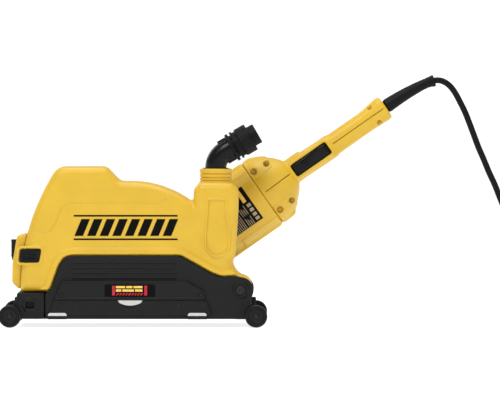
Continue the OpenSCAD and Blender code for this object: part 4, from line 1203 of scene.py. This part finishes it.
def rear_field(p):
    """Both rear shells as one: a round motor end, running into a squarer handle."""
    power = 2 + 0.9 * np.clip((p.x - 236) / 16, 0, 1)
    sag = p.z + 1.1 * np.clip((p.x - 268) / 36, 0, 1) * np.clip((396 - p.x) / 26, 0, 1)
    wide = (np.abs(p.y) ** power + np.abs(sag) ** power + 1e-6) ** (1 / power)
    body = outline(p.x, wide, REAR)
    body = melt(body, brick(p, (246, -11, 4), (278, 11, 18.2), 4), 2)
    land = common(body - 1.3, 22.5 - np.abs(p.z), p.x - 238, 208.5 - p.x)
    body = melt(body, land, 1)
    body = melt(body, brick(p, (208, -13, 34), (219, 13, 46.9), 3), 4)
    body = melt(body, brick(p, (208, -13, -47.4), (229, 13, -34), 4), 4)
    return body, wide


def make_rear():
    """The two rear shells, which are the handle, and their screws."""
    p = Points((204, -50, -51), (408, 1, 51), 0.75)
    plain, wide = rear_field(p)
    # Moulded seam line along the middle, and the step line beside the joint with the field case
    in_seam = ((p.x > 212) & (p.x < 252)) | ((p.x > 320) & (p.x < 403))
    body = plain + 1.7 * np.exp(-(p.z / 0.95) ** 2) * in_seam
    body = body + 0.6 * np.exp(-((p.x - 211.2) / 0.7) ** 2)
    # Raised frame round the trigger, its opening, and the shell's hollow
    opening = softened([(257.2, -8.9), (257.2, 8.9), (313, 8.9), (313, -8.9)], 3, 1)
    flat = outline(p.x, p.z, opening)
    body = melt(body, prism(flat - 3.6, p.y, -17.6, -10, 1.6), 2)
    shell = cut(body, common(plain + 3.2, p.x - 402))
    for x, z, r, y in RECESSES:
        shell = melt(shell, common(rod(p, (x, z), r + 2, y, 0), body), 0.5)
        shell = cut(shell, rod(p, (x, z), r, -60, y), 0.9)
    shell = cut(shell, prism(flat, p.y, -60, -3), 0.8)
    shell = cut(shell, common(wide - 7.4, 398 - p.x))
    shell = common(shell, p.y + 0.12)
    keep(cast("rear_shell_near", p, shell, YELLOW, TOOL), "hood", "yellow_plastic", "rear_near")
    p = Points((204, -1, -51), (408, 50, 51), 0.9)
    plain, wide = rear_field(p)
    body = plain + 0.6 * np.exp(-((p.x - 211.2) / 0.7) ** 2)
    button = disc(p.x, p.z, (BUTTON_X, 0), 5.3)
    body = melt(body, prism(button - 3, p.y, 8, 17.4, 1.2), 2)
    for i in range(7):
        slot = brick(p, (212 + 0.1 * i, 20, -22.5 + 7 * i), (230, 60, -19.5 + 7 * i), 1.2)
        body = cut(body, common(slot, -(body + 4)), 0.5)
    for i in range(10):
        body = body + 0.5 * np.exp(-((p.x - 326 - 5 * i) / 1.1) ** 2) * (np.abs(p.z) < 9) * (p.y > 8)
    shell = cut(body, common(plain + 3.2, p.x - 402))
    shell = cut(shell, prism(button, p.y, 4, 60), 0.5)
    shell = cut(shell, common(wide - 7.4, 398 - p.x))
    shell = common(shell, 0.12 - p.y)
    keep(cast("rear_shell_far", p, shell, YELLOW, TOOL), "hood", "yellow_plastic", "rear_far")
    # Painted shade: the heads are tinted yellow-orange so the deep recesses show the colour of shaded yellow
    # plastic
    heads = [screw("shell_screw", x, z, y + 0.6, r - 2.1, 1.1, RECESS_SHADE_METAL, TOOL, length=8 - y)
             for x, z, r, y in RECESSES]
    keep(join("shell_screws", heads), "hood", "steel", "housing_screws")
    # Painted shade: a thin shaded-yellow strip at the bottom of the moulded seam groove, standing in for the
    # groove's shadow
    edge = sorted(q for q in REAR if q[1] > 0)
    verts, faces = [], []
    for x0, x1 in ((213, 251), (321, 402)):
        xs, start = np.arange(x0, x1, 1.5), len(verts)
        for x in xs:
            y = 1.1 - np.interp(x, [q[0] for q in edge], [q[1] for q in edge])
            verts += [(x, y, -0.4), (x, y, 0.4), (x, y + 1, 0.4), (x, y + 1, -0.4)]
        for i in range(start, len(verts) - 4, 4):
            faces += [(i + k, i + (k + 1) % 4, i + 4 + (k + 1) % 4, i + 4 + k) for k in range(4)]
        faces += [(start + 3, start + 2, start + 1, start), tuple(range(len(verts) - 4, len(verts)))]
    keep(finish_mesh("seam_line", verts, faces, TOOL, SHADE), "hood", "yellow_plastic")


def make_trigger():
    """The switch paddle, its lock button and the spindle lock."""
    p = Points((255, -20, -10), (315, -2, 10), 0.5)
    paddle = brick(p, (258, -18.5, -8.2), (311.5, -9.5, 8.2), 3.4)
    paddle = cut(paddle, disc(p.x, p.y, (286, -61), 43.6), 2)
    paddle = cut(paddle, brick(p, (262, -30, -10), (263, -17.9, 10), 0.3), 0.6)
    paddle = union(paddle, brick(p, (258, -11, -8.2), (265.5, -4, 8.2), 1))
    keep(cast("trigger_paddle", p, paddle, GLOSS, TOOL), "trigger_lever", "black_plastic", "trigger")
    button = [(0, 0), (6.4, 0), (6.4, 1.4), (5, 1.4, 0.1), (5, 7.4, 1.2), (3.4, 8.4, 1.2), (2.4, 7.9, 0.5),
              (0, 7.9)]
    place = TOOL @ Matrix.Translation((BUTTON_X, 10.2, 0)) @ Matrix.Rotation(-math.pi / 2, 4, "X")
    keep(turned("lock_on_button", button, GLOSS, place), "lock_on", "black_plastic", "lock_button")
    pin = [(0, 0), (2.2, 0), (2.7, 0.6), (2.7, 44.5, 0.1), (7, 44.5), (7, 49, 1.5), (4.5, 50, 1), (3.6, 49.3, 0.4),
           (0, 49.3)]
    place = TOOL @ Matrix.Translation((LOCK_X, -3, 0)) @ Matrix.Rotation(-math.pi / 2, 4, "X")
    keep(turned("lock_pin", pin, BLACK, place), "spindle_lock_pin", "black_plastic", "spindle_lock")


def make_rating_label():
    """A black label wrapped on the motor, with plain rules, blocks and small squares."""
    radius = 46.3

    def patch(x0, x1, z0, z1, lift):
        count = max(2, int((z1 - z0) / 2))
        turn, r = np.linspace(z0, z1, count) / radius, radius + lift
        return [(x, -r * math.cos(t), r * math.sin(t)) for x in (x0, x1) for t in turn]

    def sheets(name, patches, lift, material):
        verts, faces = [], []
        for box in patches:
            outer, inner = patch(*box, lift), patch(*box, lift - 0.25)
            n, start = len(outer) // 2, len(verts)
            verts += outer + inner
            m = start + 2 * n
            for i in range(n - 1):
                faces.append((start + i, start + n + i, start + n + i + 1, start + i + 1))
                faces.append((m + i, m + i + 1, m + n + i + 1, m + n + i))
            rim = list(range(start, start + n)) + list(range(start + 2 * n - 1, start + n - 1, -1))
            for a, b in zip(rim, rim[1:] + rim[:1]):
                faces.append((a, b, b + 2 * n, a + 2 * n))
        piece = finish_mesh(name, verts, faces, TOOL, material)
        piece.data.shade_flat()
        return piece

    ground = [(135, 190, -28, 25)]
    rules = [(x, x + 0.8, z0, z1) for i, x in enumerate(np.arange(139, 166, 2.6))
             for z0, z1 in ((-27, -8 + 3 * math.sin(i * 2.1)), (-4 + 2 * math.sin(i), 21 - 2 * (i % 3)))]
    rules += [(x, x + 0.8, z0, z0 + 13 - (i % 3) * 2.5) for i, x in enumerate(np.arange(169, 178, 2.6))
              for z0 in (-27, -11)]
    squares = [(181.5, 187, z, z + 4.6) for z in (-25, -18, -11, -4)]
    gold = [(179.5, 184.5, 4, 21), (137, 138, -27, 22)]
    parts = [sheets("rating_ground", ground, 0.25, INK), sheets("rating_rules", rules + squares, 0.4, GREY_INK),
             sheets("rating_gold", gold, 0.42, GOLD_INK)]
    keep(join("rating_plate", parts), "hood", "label_black", "rating_label")


make_gear_case()
make_field_case()
make_rear()
make_trigger()
make_rating_label()
